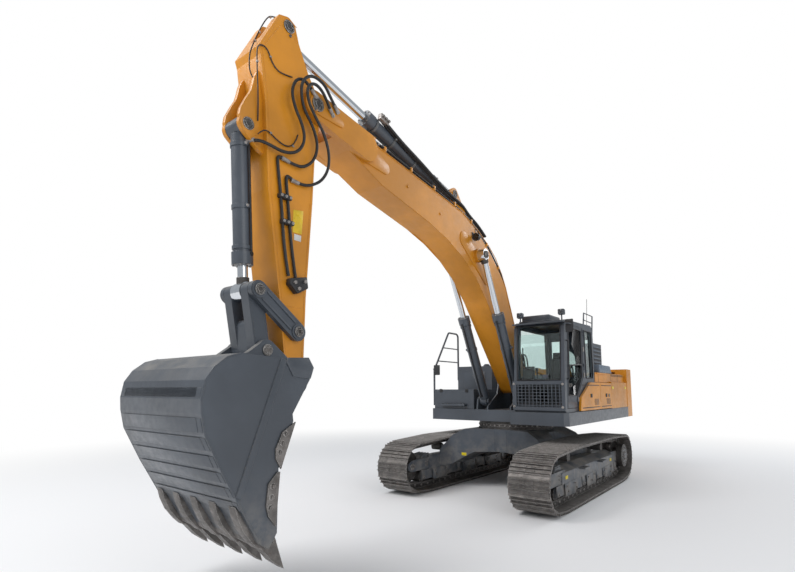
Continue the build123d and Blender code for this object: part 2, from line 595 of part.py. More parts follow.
# ---- cylinders -----------------------------------------------------------------------------------------
def cylinder_pair(base, eye, half_base, half_eye, barrel_r, rod_r, barrel_length, retract, offsets,
                  eye_r=100.0):
    """A barrel and a rod between two pins, drawn in the side view, repeated at the offsets."""
    with BuildPart() as barrel:
        for y in offsets:
            start = toward(base, eye, eye_r - 20)
            end = toward(base, eye, barrel_length)
            bar((start[0], y, start[1]), (end[0], y, end[1]), barrel_r)
            head = toward(base, eye, barrel_length - 130)
            bar((head[0], y, head[1]), (end[0], y, end[1]), barrel_r + 18)
            across(base, eye_r, y - half_base, y + half_base)
            inner = toward(base, eye, eye_r + 120)
            bar((inner[0], y, inner[1]), (end[0], y, end[1]), rod_r + RUN, mode=Mode.SUBTRACT)
    with BuildPart() as rod:
        for y in offsets:
            start = toward(base, eye, eye_r + 130 + retract)
            end = toward(eye, base, eye_r - 20)
            bar((start[0], y, start[1]), (end[0], y, end[1]), rod_r)
            across(eye, eye_r, y - half_eye, y + half_eye)
    return barrel, rod


barrel, rod = cylinder_pair(BOOM_CYL_BASE, BOOM_CYL_EYE, CYL_EYE_HALF, CYL_EYE_HALF, 92, 52, 1760, 630,
                            (-BOOM_CYL_Y, BOOM_CYL_Y))
save(barrel, "boom_cylinder_barrels")
save(rod, "boom_cylinder_rods")
barrel, rod = cylinder_pair(ARM_CYL_BASE, ARM_TOP, CYL_EAR_Y - RUN, FORK_HALF - RUN, 98, 58, 2150, 895, (0,))
save(barrel, "arm_cylinder_barrel")
save(rod, "arm_cylinder_rod")
barrel, rod = cylinder_pair(BUCKET_CYL_BASE, CRANK, CYL_EAR_Y - RUN, FORK_HALF - RUN, 90, 52, 1440, 145, (0,))
save(barrel, "bucket_cylinder_barrel")
save(rod, "bucket_cylinder_rod")

# ---- bucket linkage -----------------------------------------------------------------------------------------
FORK_Y = (85.0, 205.0)
ROCKER_Y = (EAR_Y0, EAR_Y0 + 60.0)
with BuildPart() as rockers:
    for sign in (-1, 1):
        y = sorted((sign * ROCKER_Y[0], sign * ROCKER_Y[1]))
        slab(ROCKER_PIN, CRANK, 100, 92, *y)
save(rockers, "rockers")

with BuildPart() as link:
    for sign in (-1, 1):
        y = sorted((sign * FORK_Y[0], sign * FORK_Y[1]))
        slab(LINK_PIN, CRANK, 85, 92, *y)
    body = toward(LINK_PIN, CRANK, 260)
    slab(LINK_PIN, body, 90, 70, -FORK_Y[0], FORK_Y[0])
    across(LINK_PIN, 90, -ARM_HALF, ARM_HALF)
save(link, "link")

# ---- bucket ---------------------------------------------------------------------------------------------------
SHELL = [(6340, 2160), (6900, 2190), (7030, 2153), (7144, 2065), (7216, 1958), (7243, 1809), (7235, 1695),
         (7196, 1523), (7031, 1210), (6660, 588), (6560, 520), (6478, 640), (6478, 1187), (6323, 1593),
         (6333, 1660), (6135, 1975), (6101, 2103)]
with BuildPart() as bucket:
    side(SHELL, -BUCKET_HALF, BUCKET_HALF)
    cavity = [(6000, 2040), (6345, 2120), (6890, 2150), (7005, 2118), (7108, 2035), (7176, 1945), (7202, 1806), (7195, 1705),
              (7158, 1540), (6996, 1228), (6560, 500), (6300, 500), (6000, 1500)]
    side(cavity, -BUCKET_HALF + 40, BUCKET_HALF - 40, mode=Mode.SUBTRACT)
    for sign in (-1, 1):
        y = sorted((sign * EAR_Y0, sign * (EAR_Y0 + 70)))
        slab(ARM_NOSE, LINK_PIN, 112, 105, *y)
        side([(5980, 1900), (6101, 2103), (6340, 2150), (6900, 2180), (6530, 2233), (6380, 2340), (6200, 2300), (5850, 2040)],
             *y)
save(bucket, "bucket")

with BuildPart() as bucket_teeth:
    for i in range(5):
        y = (i - 2) * 310.0
        side([(6660, 588), (6560, 520), (6478, 640), (6420, 480), (6353, 295), (6480, 390)], y - 50, y + 50)
save(bucket_teeth, "bucket_teeth")
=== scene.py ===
"""Looks of the crawler excavator: its finishes, bolts, hoses, fittings and trim, and the stage round it."""

from math import acos, atan2, cos, hypot, pi, radians, sin

import bmesh
import bpy
from bpy.props import FloatProperty, FloatVectorProperty, PointerProperty
from mathutils import Matrix, Vector


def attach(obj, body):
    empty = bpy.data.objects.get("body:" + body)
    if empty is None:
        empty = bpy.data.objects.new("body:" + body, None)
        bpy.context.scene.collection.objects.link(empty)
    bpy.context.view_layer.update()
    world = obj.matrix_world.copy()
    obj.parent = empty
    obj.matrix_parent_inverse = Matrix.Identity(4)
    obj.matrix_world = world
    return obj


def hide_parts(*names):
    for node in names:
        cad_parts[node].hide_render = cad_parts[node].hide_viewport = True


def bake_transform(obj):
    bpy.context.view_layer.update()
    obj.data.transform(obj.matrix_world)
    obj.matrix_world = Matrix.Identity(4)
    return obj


bl_info = {
    "name": "Crawler excavator looks",
    "version": (1, 0, 0),
    "blender": (4, 5, 0),
    "location": "View3D > Sidebar > Excavator",
    "description": "Dresses the packed crawler excavator with its finishes and small pieces",
    "category": "Object",
}

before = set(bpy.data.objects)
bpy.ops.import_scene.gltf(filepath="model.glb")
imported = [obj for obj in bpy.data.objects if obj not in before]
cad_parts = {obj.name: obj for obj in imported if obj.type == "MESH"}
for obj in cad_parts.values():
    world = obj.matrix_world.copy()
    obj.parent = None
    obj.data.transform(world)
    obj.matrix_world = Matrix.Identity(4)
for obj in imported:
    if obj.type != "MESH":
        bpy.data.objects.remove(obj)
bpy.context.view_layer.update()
X, Y, Z = Vector((1, 0, 0)), Vector((0, 1, 0)), Vector((0, 0, 1))


# ---- sizes and colours ------------------------------------------------------------
class PaintSettings(bpy.types.PropertyGroup):
    """Colours and wear of the painted and bare surfaces."""
    amber: FloatVectorProperty(name="Amber", description="Boom, arm and house paint", subtype="COLOR",
                               size=4, default=(0.60, 0.235, 0.010, 1), min=0, max=1)
    slate: FloatVectorProperty(name="Slate", description="Bucket, cab and frame paint", subtype="COLOR",
                               size=4, default=(0.060, 0.071, 0.088, 1), min=0, max=1)
    dust: FloatVectorProperty(name="Dust", description="Dry dust lying on upward faces", subtype="COLOR",
                              size=4, default=(0.36, 0.32, 0.27, 1), min=0, max=1)
    shoe_steel: FloatVectorProperty(name="Shoe steel", description="Worn steel of the track shoes",
                                    subtype="COLOR", size=4, default=(0.20, 0.185, 0.175, 1), min=0, max=1)
    edge_radius: FloatProperty(name="Edge radius", description="Rounding seen on plate edges", unit="LENGTH",
                               default=0.006, min=0.001, max=0.03)


class StageSettings(bpy.types.PropertyGroup):
    """The floor, the light and the viewpoint."""
    camera_place: FloatVectorProperty(name="Camera place", description="Viewpoint", subtype="XYZ",
                                      unit="LENGTH", default=(9.267, 4.2564, 1.8783))
    camera_heading: FloatProperty(name="Camera heading", description="Bearing looked along, from +X",
                                  subtype="ANGLE", default=radians(218.23))
    camera_pitch: FloatProperty(name="Camera pitch", description="Upward tilt", subtype="ANGLE",
                                default=radians(6.037))
    lens: FloatProperty(name="Lens", description="Focal length in millimetres", default=21.924, min=5)
    floor_size: FloatProperty(name="Floor size", description="Side of the floor", unit="LENGTH", default=160)


# ---- node trees --------------------------------------------------------------------
class Finish:
    """A material's node tree round one principled shader."""

    def __init__(self, name):
        self.material = bpy.data.materials.new(name)
        self.material.use_nodes = True
        self.tree = self.material.node_tree
        self.surface = self.tree.nodes["Principled BSDF"]
        self.place = self.add("ShaderNodeTexCoord").outputs["Object"]

    def add(self, kind, inputs=None, **settings):
        """Adds a node, sets its properties, and links or sets its inputs by name or number."""
        node = self.tree.nodes.new(kind)
        for key, value in settings.items():
            setattr(node, key, value)
        for key, value in (inputs or {}).items():
            self.put(node, key, value)
        return node

    def put(self, node, key, value):
        """Links an output to an input, or sets the input's own value."""
        if isinstance(value, bpy.types.NodeSocket):
            self.tree.links.new(value, node.inputs[key])
        else:
            node.inputs[key].default_value = value

    def noise(self, scale, detail=4, roughness=0.55):
        return self.add("ShaderNodeTexNoise", {"Vector": self.place, "Scale": scale, "Detail": detail,
                                               "Roughness": roughness}).outputs["Fac"]

    def ramp(self, value, low, high, start=0.0, end=1.0):
        """A clamped smooth step of a value between low and high."""
        return self.add("ShaderNodeMapRange", {"Value": value, "From Min": low, "From Max": high,
                                               "To Min": start, "To Max": end},
                        interpolation_type="SMOOTHSTEP").outputs["Result"]

    def math(self, operation, a, b=0.0):
        return self.add("ShaderNodeMath", {0: a, 1: b}, operation=operation, use_clamp=True).outputs[0]

    def mix(self, factor, a, b):
        """A colour between a and b."""
        node = self.add("ShaderNodeMix", data_type="RGBA")
        self.put(node, 0, factor)
        self.put(node, 6, a)
        self.put(node, 7, b)
        return node.outputs[2]

    def height(self):
        """Height above the ground in metres."""
        return self.add("ShaderNodeSeparateXYZ", {0: self.place}).outputs["Z"]

    def edges(self, radius):
        """Rounded normals, and how much each place is an edge."""
        rounded = self.add("ShaderNodeBevel", {"Radius": radius}, samples=4).outputs["Normal"]
        flat = self.add("ShaderNodeNewGeometry").outputs["Normal"]
        dot = self.add("ShaderNodeVectorMath", {0: rounded, 1: flat}, operation="DOT_PRODUCT").outputs["Value"]
        return rounded, self.ramp(dot, 0.995, 0.86)

    def upward(self):
        """How much a face looks up."""
        normal = self.add("ShaderNodeNewGeometry").outputs["Normal"]
        return self.ramp(self.add("ShaderNodeSeparateXYZ", {0: normal}).outputs["Z"], 0.35, 0.95)

    def bump(self, height, distance, normal=None, strength=1.0):
        inputs = {"Height": height, "Distance": distance, "Strength": strength}
        if normal is not None:
            inputs["Normal"] = normal
        return self.add("ShaderNodeBump", inputs).outputs["Normal"]

    def done(self, **values):
        for key, value in values.items():
            self.put(self.surface, key.replace("_", " "), value)
        return self.material


FINISHES = {}


def finish_named(maker):
    """Keeps one material of each kind."""
    def get(*args):
        key = (maker.__name__, *args)
        if key not in FINISHES:
            FINISHES[key] = maker(*args)
        return FINISHES[key]
    return get


def paint_settings():
    return bpy.context.scene.excavator_paint


@finish_named
def paint(colour, wear, dirt):
    """Sprayed enamel, chipped along its edges and dusty on top."""
    s = paint_settings()
    f = Finish(f"{colour}_paint")
    base = tuple(getattr(s, colour))
    rounded, edge = f.edges(s.edge_radius)
    patches = f.noise(0.9, 5)
    lighter = tuple(min(1, c * 1.18) for c in base[:3]) + (1,)
    darker = tuple(c * 0.84 for c in base[:3]) + (1,)
    coat = f.mix(f.ramp(patches, 0.35, 0.65), darker, lighter)
    chips = f.math("MULTIPLY", f.ramp(f.noise(38, 6, 0.7), 0.56 - 0.1 * wear, 0.62),
                   f.math("MULTIPLY", edge, wear))
    worn = f.mix(chips, coat, (0.13, 0.125, 0.12, 1))
    dust = f.math("MULTIPLY", f.upward(), f.ramp(f.noise(3.5, 8, 0.7), 0.3, 0.75, 0, dirt))
    low = f.math("MULTIPLY", f.ramp(f.height(), 1.3, 0.1), f.ramp(f.noise(6, 6, 0.65), 0.35, 0.7, 0, dirt))
    dusty = f.mix(f.math("ADD", dust, low), worn, tuple(s.dust))
    rough = f.ramp(f.noise(14, 4), 0.3, 0.7, 0.32, 0.46)
    rough = f.math("ADD", rough, f.math("MULTIPLY", f.math("ADD", dust, low), 0.4))
    orange_peel = f.bump(f.noise(260, 2), 0.0004, rounded, 0.5)
    return f.done(Base_Color=dusty, Roughness=rough, Normal=orange_peel, Coat_Weight=0.18, Coat_Roughness=0.2)


@finish_named
def bare_steel(shade):
    """Cast or rolled steel, brown in its pores and bright where it rubs."""
    s = paint_settings()
    f = Finish(f"bare_steel_{shade}")
    base = tuple(s.shoe_steel)
    rounded, edge = f.edges(s.edge_radius * 0.8)
    scale = {"dark": 0.45, "mid": 1.0, "bright": 1.9}[shade]
    dark = tuple(c * 0.6 * scale for c in base[:3]) + (1,)
    light = tuple(min(1, c * 1.15 * scale) for c in base[:3]) + (1,)
    rust = (0.13 * scale, 0.075 * scale, 0.045 * scale, 1)
    body = f.mix(f.ramp(f.noise(9, 8, 0.7), 0.35, 0.68), dark, light)
    body = f.mix(f.ramp(f.noise(22, 7, 0.7), 0.55, 0.75, 0, 0.55), body, rust)
    rubbed = f.math("MULTIPLY", edge, f.ramp(f.noise(30, 4), 0.3, 0.6, 0.45, 1))
    colour = f.mix(rubbed, body, (0.62, 0.60, 0.58, 1))
    rough = f.ramp(f.noise(25, 5), 0.3, 0.7, 0.42, 0.66)
    normal = f.bump(f.noise(120, 6, 0.7), 0.0012, rounded, 0.6)
    return f.done(Base_Color=colour, Roughness=rough, Metallic=0.55, Normal=normal)


@finish_named
def chrome():
    """Hard chrome of the cylinder rods, faintly brushed along its length."""
    f = Finish("rod_chrome")
    colour = f.mix(f.noise(2, 3), (0.60, 0.63, 0.67, 1), (0.74, 0.77, 0.80, 1))
    rough = f.ramp(f.noise(60, 3), 0.3, 0.7, 0.10, 0.19)
    normal = f.bump(f.noise(300, 2), 0.0001, strength=0.3)
    return f.done(Base_Color=colour, Roughness=rough, Metallic=1.0, Normal=normal)


@finish_named
def glass(tint):
    """Toughened glass with a faint smear of dust."""
    f = Finish(f"{tint}_glass")
    colours = {"cab": (0.78, 0.90, 0.88, 1), "lamp": (0.96, 0.98, 1, 1)}
    smear = f.ramp(f.noise(4, 6, 0.7), 0.4, 0.8, 0.01, 0.07)
    clear = colours[tint]
    colour = f.mix(f.ramp(f.noise(1.5, 3), 0.3, 0.7), clear, tuple(c * 0.94 for c in clear[:3]) + (1,))
    return f.done(Base_Color=colour, Roughness=smear, Transmission_Weight=1.0, IOR=1.45)


@finish_named
def moulded(shade):
    """Grained plastic or rubber; its black also stands as painted shade in the slots of the house and hood and
    in the grille's gaps.
    """
    f = Finish(f"moulded_{shade}")
    colours = {"black": (0.018, 0.018, 0.020, 1), "hose": (0.014, 0.014, 0.015, 1),
               "grey": (0.10, 0.105, 0.11, 1), "fabric": (0.030, 0.031, 0.034, 1)}
    base = colours[shade]
    pale = tuple(min(1, c * 2.2 + 0.01) for c in base[:3]) + (1,)
    colour = f.mix(f.ramp(f.noise(7, 7, 0.7), 0.45, 0.8, 0, 0.6), base, pale)
    rough = f.ramp(f.noise(30, 4), 0.3, 0.7, 0.42, 0.62)
    normal = f.bump(f.noise(500, 2), 0.0004, strength=0.5)
    return f.done(Base_Color=colour, Roughness=rough, Normal=normal)


@finish_named
def reflector(shade):
    """A reflector or a blank painted plate."""
    f = Finish(f"{shade}_plate")
    colours = {"yellow": (0.78, 0.62, 0.02, 1), "plate_yellow": (0.74, 0.50, 0.02, 1),
               "white": (0.62, 0.62, 0.60, 1), "box": (0.155, 0.20, 0.26, 1)}
    base = colours[shade]
    colour = f.mix(f.ramp(f.noise(12, 5), 0.35, 0.7), base, tuple(c * 0.8 for c in base[:3]) + (1,))
    grain = f.noise(160, 1)
    return f.done(Base_Color=colour, Roughness=f.ramp(f.noise(20, 3), 0.3, 0.7, 0.25, 0.45),
                  Normal=f.bump(grain, 0.0006, strength=0.5))


CAD_FINISHES = {
    "amber": ("boom", "arm", "house_left", "house_right", "side_door_front", "side_door_rear", "hood",
              "counterweight"),
    "slate": ("platform", "boom_bracket", "cab", "cab_guard", "cab_door", "tank", "toolbox", "toolbox_lid",
              "air_box", "handrail", "boom_cylinder_barrels", "arm_cylinder_barrel", "bucket_cylinder_barrel"),
    "slate_low": ("carbody", "track_frame_left", "track_frame_right", "bucket", "rockers", "link"),
    "steel_dark": ("bottom_rollers", "carrier_rollers", "idlers", "sprockets", "swing_bearing", "engine_block"),
    "steel": ("track_left", "track_right", "bucket_teeth"),
    "chrome": ("boom_cylinder_rods", "arm_cylinder_rod", "bucket_cylinder_rod"),
    "glass": ("cab_glass",),
    "black": ("console",),
    "fabric": ("seat",),
}


def finish_of(kind):
    makers = {
        "amber": lambda: paint("amber", 0.5, 0.25), "slate": lambda: paint("slate", 0.6, 0.3),
        "slate_low": lambda: paint("slate", 0.9, 0.55), "steel_dark": lambda: bare_steel("dark"),
        "steel": lambda: bare_steel("mid"), "chrome": chrome, "glass": lambda: glass("cab"),
        "black": lambda: moulded("black"), "fabric": lambda: moulded("fabric"),
    }
    return makers[kind]()


class EXCAVATOR_OT_frame_finishes(bpy.types.Operator):
    """Give every rigid node its finish"""
    bl_idname = "excavator.frame_finishes"
    bl_label = "Frame finishes"

    def execute(self, context):
        for kind, names in CAD_FINISHES.items():
            for name in names:
                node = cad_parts[name]
                node.data.materials.clear()
                node.data.materials.append(finish_of(kind))
        return {"FINISHED"}


# ---- small forms --------------------------------------------------------------------
def faces_of(verts):
    """The faces at some vertices, each once."""
    return list(dict.fromkeys(face for vert in verts for face in vert.link_faces))


def edges_of(verts):
    """The edges at some vertices, each once."""
    return list(dict.fromkeys(edge for vert in verts for edge in vert.link_edges))


class Work:
    """One piece in the making, built from small forms in millimetres."""

    def __init__(self, name):
        self.name = name
        self.bm = bmesh.new()
        self.paint_index = 0

    def placed(self, verts, matrix):
        """Moves what an operator made, and gives it the finish in hand."""
        bmesh.ops.transform(self.bm, matrix=matrix, verts=verts)
        for face in faces_of(verts):
            face.material_index = self.paint_index
        return verts

    def rod(self, a, b, radius, sides=16, end_radius=None):
        """A round bar from a to b, tapered if its end has a radius of its own."""
        a, b = Vector(a), Vector(b)
        matrix = Matrix.Translation((a + b) / 2) @ (b - a).to_track_quat("Z", "Y").to_matrix().to_4x4()
        made = bmesh.ops.create_cone(self.bm, cap_ends=True, cap_tris=False, segments=sides, radius1=radius,
                                     radius2=radius if end_radius is None else end_radius, depth=(b - a).length)
        return self.placed(made["verts"], matrix)

    def disc(self, at, y0, y1, radius, sides=16):
        """A round boss at (x, z), from y0 to y1."""
        return self.rod((at[0], y0, at[1]), (at[0], y1, at[1]), radius, sides)

    def box(self, low, high, bevel=0.0, turn=None):
        """A block between two corners, with rounded edges, turned about its middle."""
        low, high = Vector(low), Vector(high)
        size = high - low
        verts = bmesh.ops.create_cube(self.bm, size=1)["verts"]
        bmesh.ops.scale(self.bm, vec=size, verts=verts)
        verts = self.closed(verts, bevel)
        matrix = Matrix.Translation((low + high) / 2) @ (turn.to_4x4() if turn else Matrix.Identity(4))
        return self.placed(verts, matrix)

    def row(self, low, high, step, count, bevel):
        """Like blocks, each a step on from the last."""
        for i in range(count):
            shift = Vector(step) * i
            self.box(Vector(low) + shift, Vector(high) + shift, bevel)

    def island(self, seed):
        """All vertices joined to one."""
        found, waiting = {seed: True}, [seed]
        while waiting:
            vert = waiting.pop()
            for edge in vert.link_edges:
                other = edge.other_vert(vert)
                if other not in found:
                    found[other] = True
                    waiting.append(other)
        return list(found)

    def cap(self, at, y, out, radius, height=20.0, bolts=3, size=22.0, turn=0.5):
        """A pin's retaining cap at (x, z): a ringed disc with a hub and bolts."""
        face = y + out * height * 0.6
        self.disc(at, y, face, radius, 32)
        self.ring((at[0], face, at[1]), (0, out, 0), radius * 0.86, radius * 0.10, 32, 6)
        self.disc(at, y, y + out * height * 0.75, radius * 0.45, 24)
        self.bolts_round(at, face, out, radius * 0.62, bolts, size, turn)

    def bolts_round(self, at, y, out, radius, count, size, start=0.0):
        """Bolts on a circle about (x, z), looking out along Y."""
        for i in range(count):
            angle = start + 2 * pi * i / count
            self.bolt((at[0] + radius * cos(angle), y, at[1] + radius * sin(angle)), (0, out, 0), size)

    def plate(self, points, y0, y1, bevel=0.0):
        """A side outline (x, z) pulled across from y0 to y1."""
        return self.prism([Vector((x, y0, z)) for x, z in points], Vector((0, y1 - y0, 0)), bevel)

    def prism(self, points, pull, bevel=0.0):
        """A flat outline pulled along a vector."""
        face = self.bm.faces.new([self.bm.verts.new(p) for p in points])
        grown = bmesh.ops.extrude_face_region(self.bm, geom=[face])["geom"]
        ends = [g for g in grown if isinstance(g, bmesh.types.BMVert)]
        bmesh.ops.translate(self.bm, vec=pull, verts=ends)
        return self.closed(self.island(ends[0]), bevel)

    def closed(self, verts, bevel):
        """Turns an island's faces outwards and rounds its edges."""
        bmesh.ops.recalc_face_normals(self.bm, faces=faces_of(verts))
        if bevel:
            edges = edges_of(verts)
            cut = bmesh.ops.bevel(self.bm, geom=edges, offset=bevel, affect="EDGES", segments=2, profile=0.5,
                                  material=-1)
            verts = self.island(cut["verts"][0])
        return self.placed(verts, Matrix.Identity(4))

    def bolt(self, at, axis, size=24.0, washer=True):
        """A hexagon head, across its flats about a size, standing on a washer."""
        at, axis = Vector(at), Vector(axis).normalized()
        foot = at
        if washer:
            self.rod(at - axis * 2, at + axis * size * 0.12, size * 0.85, 14)
            foot = at + axis * size * 0.12
        self.rod(foot, foot + axis * size * 0.6, size * 0.577, 6, size * 0.54)

    def ring(self, at, axis, radius, tube, sides=32, steps=8):
        """A round bead about an axis."""
        at, axis = Vector(at), Vector(axis).normalized()
        made = bmesh.ops.create_circle(self.bm, segments=steps, radius=tube)
        turned = axis.to_track_quat("Z", "Y").to_matrix().to_4x4()
        stand = Matrix.Translation((radius, 0, 0)) @ Matrix.Rotation(pi / 2, 4, "X")
        bmesh.ops.transform(self.bm, matrix=stand, verts=made["verts"])
        bmesh.ops.spin(self.bm, geom=made["verts"] + edges_of(made["verts"]), cent=(0, 0, 0), axis=(0, 0, 1),
                       angle=2 * pi, steps=sides, use_merge=True)
        verts = self.island(made["verts"][0])
        bmesh.ops.recalc_face_normals(self.bm, faces=faces_of(verts))
        return self.placed(verts, Matrix.Translation(at) @ turned)

    def line(self, points, radius, sides=8):
        """A round bar that follows points, with closed ends."""
        points = [Vector(p) for p in points]
        ways = [(b - a).normalized() for a, b in zip(points, points[1:])]
        made = bmesh.ops.create_circle(self.bm, segments=sides, radius=radius, cap_ends=True)
        verts, normal = made["verts"], ways[0]
        ring = list(verts[0].link_faces[0].edges)
        turn = normal.to_track_quat("Z", "Y").to_matrix().to_4x4()
        bmesh.ops.transform(self.bm, matrix=Matrix.Translation(points[0]) @ turn, verts=verts)
        every = list(verts)
        for i, point in enumerate(points[1:], 1):
            facing = (ways[i - 1] + ways[min(i, len(ways) - 1)]).normalized()
            grown = bmesh.ops.extrude_edge_only(self.bm, edges=ring)["geom"]
            verts = [g for g in grown if isinstance(g, bmesh.types.BMVert)]
            ring = [g for g in grown if isinstance(g, bmesh.types.BMEdge) and all(v in verts for v in g.verts)]
            bmesh.ops.translate(self.bm, vec=point - points[i - 1], verts=verts)
            swing = normal.rotation_difference(facing).to_matrix()
            bmesh.ops.rotate(self.bm, cent=point, matrix=swing, verts=verts)
            normal = facing
            every += verts
        bmesh.ops.contextual_create(self.bm, geom=ring)
        bmesh.ops.recalc_face_normals(self.bm, faces=faces_of(every))
        return self.placed(every, Matrix.Identity(4))

    def weld(self, points, radius=6.0):
        """A weld bead along points."""
        self.line(points, radius, 6)

    def gasket(self, outline, y, radius=11, sides=10):
        """A bead round an outline of (x, z) at y."""
        self.line([(x, y, z) for x, z in (*outline, outline[0])], radius, sides)

    def done(self, body, *finishes, smooth=True):
        """Makes the piece, gives it its finishes, and sets it on its body if it has one yet."""
        mesh = bpy.data.meshes.new(self.name)
        bmesh.ops.scale(self.bm, vec=(0.001, 0.001, 0.001), verts=self.bm.verts)
        self.bm.normal_update()
        self.bm.to_mesh(mesh)
        self.bm.free()
        for finish in finishes:
            mesh.materials.append(finish)
        obj = bpy.data.objects.new(self.name, mesh)
        bpy.context.scene.collection.objects.link(obj)
        if smooth:
            shade(mesh)
        if body:
            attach(obj, body)
        return obj


def shade(mesh, angle=35):
    """Smooth shading that keeps edges sharper than an angle."""
    mesh.polygons.foreach_set("use_smooth", [True] * len(mesh.polygons))
    mesh.set_sharp_from_angle(angle=radians(angle))


def evaluated(obj):
    """A mesh of an object as its modifiers or its bevel make it."""
    return bpy.data.meshes.new_from_object(obj.evaluated_get(bpy.context.evaluated_depsgraph_get()))


def nurbs(name, points, radius, sides=16, resolution=12):
    """A round hose on a smooth line through the pull of its points, and that line's own points."""
    curve = bpy.data.curves.new(name, "CURVE")
    curve.dimensions = "3D"
    curve.resolution_u = resolution
    spline = curve.splines.new("NURBS")
    spline.points.add(len(points) - 1)
    for knot, point in zip(spline.points, points):
        knot.co = (*point, 1)
    spline.order_u = 3
    spline.use_endpoint_u = True
    carrier = bpy.data.objects.new(name, curve)
    bpy.context.scene.collection.objects.link(carrier)
    bpy.context.view_layer.update()
    centre = bpy.data.meshes.new_from_object(carrier)
    middle = [v.co.copy() for v in centre.vertices]
    curve.bevel_depth = radius
    curve.bevel_resolution = sides // 4 - 1
    curve.use_fill_caps = True
    bpy.context.view_layer.update()
    mesh = evaluated(carrier)
    bpy.data.objects.remove(carrier)
    bm = bmesh.new()
    bm.from_mesh(mesh)
    bmesh.ops.remove_doubles(bm, verts=bm.verts, dist=1e-5)
    bmesh.ops.recalc_face_normals(bm, faces=bm.faces)
    bm.to_mesh(mesh)
    bm.free()
    shade(mesh, 50)
    obj = bpy.data.objects.new(name, mesh)
    bpy.context.scene.collection.objects.link(obj)
    return obj, middle


def pipe_on(body, name, points, radius, sides, resolution, shade_of="hose"):
    """A round pipe, hose or cable that moves with one body."""
    pipe, _ = nurbs(name, points, radius, sides, resolution)
    pipe.data.materials.append(moulded(shade_of))
    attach(pipe, body)


def run_length(points):
    """The length of a line through points."""
    return sum((b - a).length for a, b in zip(points, points[1:]))


def hang(name, route, radius, resolution, sides):
    """A hose between two bodies, built where it lies in world space and set on neither."""
    hose, middle = nurbs(name, route, radius, sides, resolution)
    hose.data.materials.append(moulded("hose"))
    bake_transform(hose)


def zoned(node, body, finishes, chooser):
    """A copy of a rigid node in several finishes: the chooser gives a face's finish from its middle."""
    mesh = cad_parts[node].data.copy()
    mesh.name = f"{node}_dressed"
    mesh.materials.clear()
    bm = bmesh.new()
    bm.from_mesh(mesh)
    bmesh.ops.remove_doubles(bm, verts=bm.verts, dist=1e-6)
    bm.normal_update()
    for face in bm.faces:
        face.material_index = chooser(face.calc_center_median())
    bm.to_mesh(mesh)
    bm.free()
    for finish in finishes:
        mesh.materials.append(finish)
    shade(mesh)
    obj = bpy.data.objects.new(f"{node}_dressed", mesh)
    bpy.context.scene.collection.objects.link(obj)
    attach(obj, body)
    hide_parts(node)
    return obj


# ---- undercarriage -------------------------------------------------------------------
GAUGE = 1275.0          # half the distance between the tracks' middles
SHOES = 50              # shoes in one track
IDLER, SPROCKET = (2010, 480), (-2015, 490)                  # wheel centres, (x, z)
ROLLERS, ROLLER_PITCH, ROLLER_Z = 9, 412.5, 255


def belt_pins():
    """The pins of one track in metres, in order round the idler, the rollers and the sprocket."""
    wheels = ((1.65, 0.273, 0.163), (2.01, 0.48, 0.34), (0.95, 0.737, 0.138), (-0.95, 0.737, 0.138),
              (-2.015, 0.49, 0.34), (-1.65, 0.273, 0.163))          # centre x and z, radius to the pins
    normals = []
    for (x0, z0, r0), (x1, z1, r1) in zip(wheels, wheels[1:] + wheels[:1]):
        gap = hypot(x1 - x0, z1 - z0)
        normals.append(atan2(z1 - z0, x1 - x0) - acos((r0 - r1) / gap))
    steps = []
    for i, (x, z, r) in enumerate(wheels):
        start, end = normals[i - 1], normals[i]
        count = max(2, round(((end - start) % (2 * pi)) * r / 0.01))
        for j in range(count + 1):
            angle = start + ((end - start) % (2 * pi)) * j / count
            steps.append(Vector((x + r * cos(angle), 0, z + r * sin(angle))))
    steps.append(steps[0])
    total, pins, gone, at = run_length(steps), [], 0.0, 0
    for i in range(SHOES):
        wanted = total * i / SHOES
        while gone + (steps[at + 1] - steps[at]).length < wanted:
            gone += (steps[at + 1] - steps[at]).length
            at += 1
        run = steps[at + 1] - steps[at]
        pins.append(steps[at] + run * ((wanted - gone) / run.length if run.length else 0))
    return pins


class EXCAVATOR_OT_track_hardware(bpy.types.Operator):
    """Add the shoe bolts, the link plates and the pin ends of both tracks"""
    bl_idname = "excavator.track_hardware"
    bl_label = "Track hardware"

    def execute(self, context):
        pins = [pin * 1000 for pin in belt_pins()]
        plate = ((0.0, -32), (0.10, -36), (0.32, -26), (0.62, -26), (0.86, -36), (0.98, -20), (0.98, 20),
                 (0.84, 40), (0.62, 34), (0.32, 34), (0.10, 50), (0.0, 46))     # share of the pitch, rise
        for name, sign in (("left", 1), ("right", -1)):
            work, middle = Work(f"track_{name}_hardware"), sign * GAUGE
            for a, b in zip(pins, pins[1:] + pins[:1]):
                way = (b - a).normalized()
                out, pitch = Vector((way.z, 0, -way.x)), (b - a).length
                for side in (-1, 1):
                    face = middle + side * 95
                    work.paint_index = 0
                    start = a + Y * (face - side * 2)
                    work.prism([start + way * pitch * share + out * rise for share, rise in plate],
                               Y * side * 12)
                    work.paint_index = 1
                    work.rod(a + Y * (face + side * 6), a + Y * (face + side * 17), 21, 12)
                    for share in (0.31, 0.665):
                        at = a + way * pitch * share + out * 74 + Y * (middle + side * 69)
                        work.bolt(at, out, 26, washer=False)
            work.done("undercarriage", bare_steel("dark"), bare_steel("mid"), smooth=False)
        return {"FINISHED"}


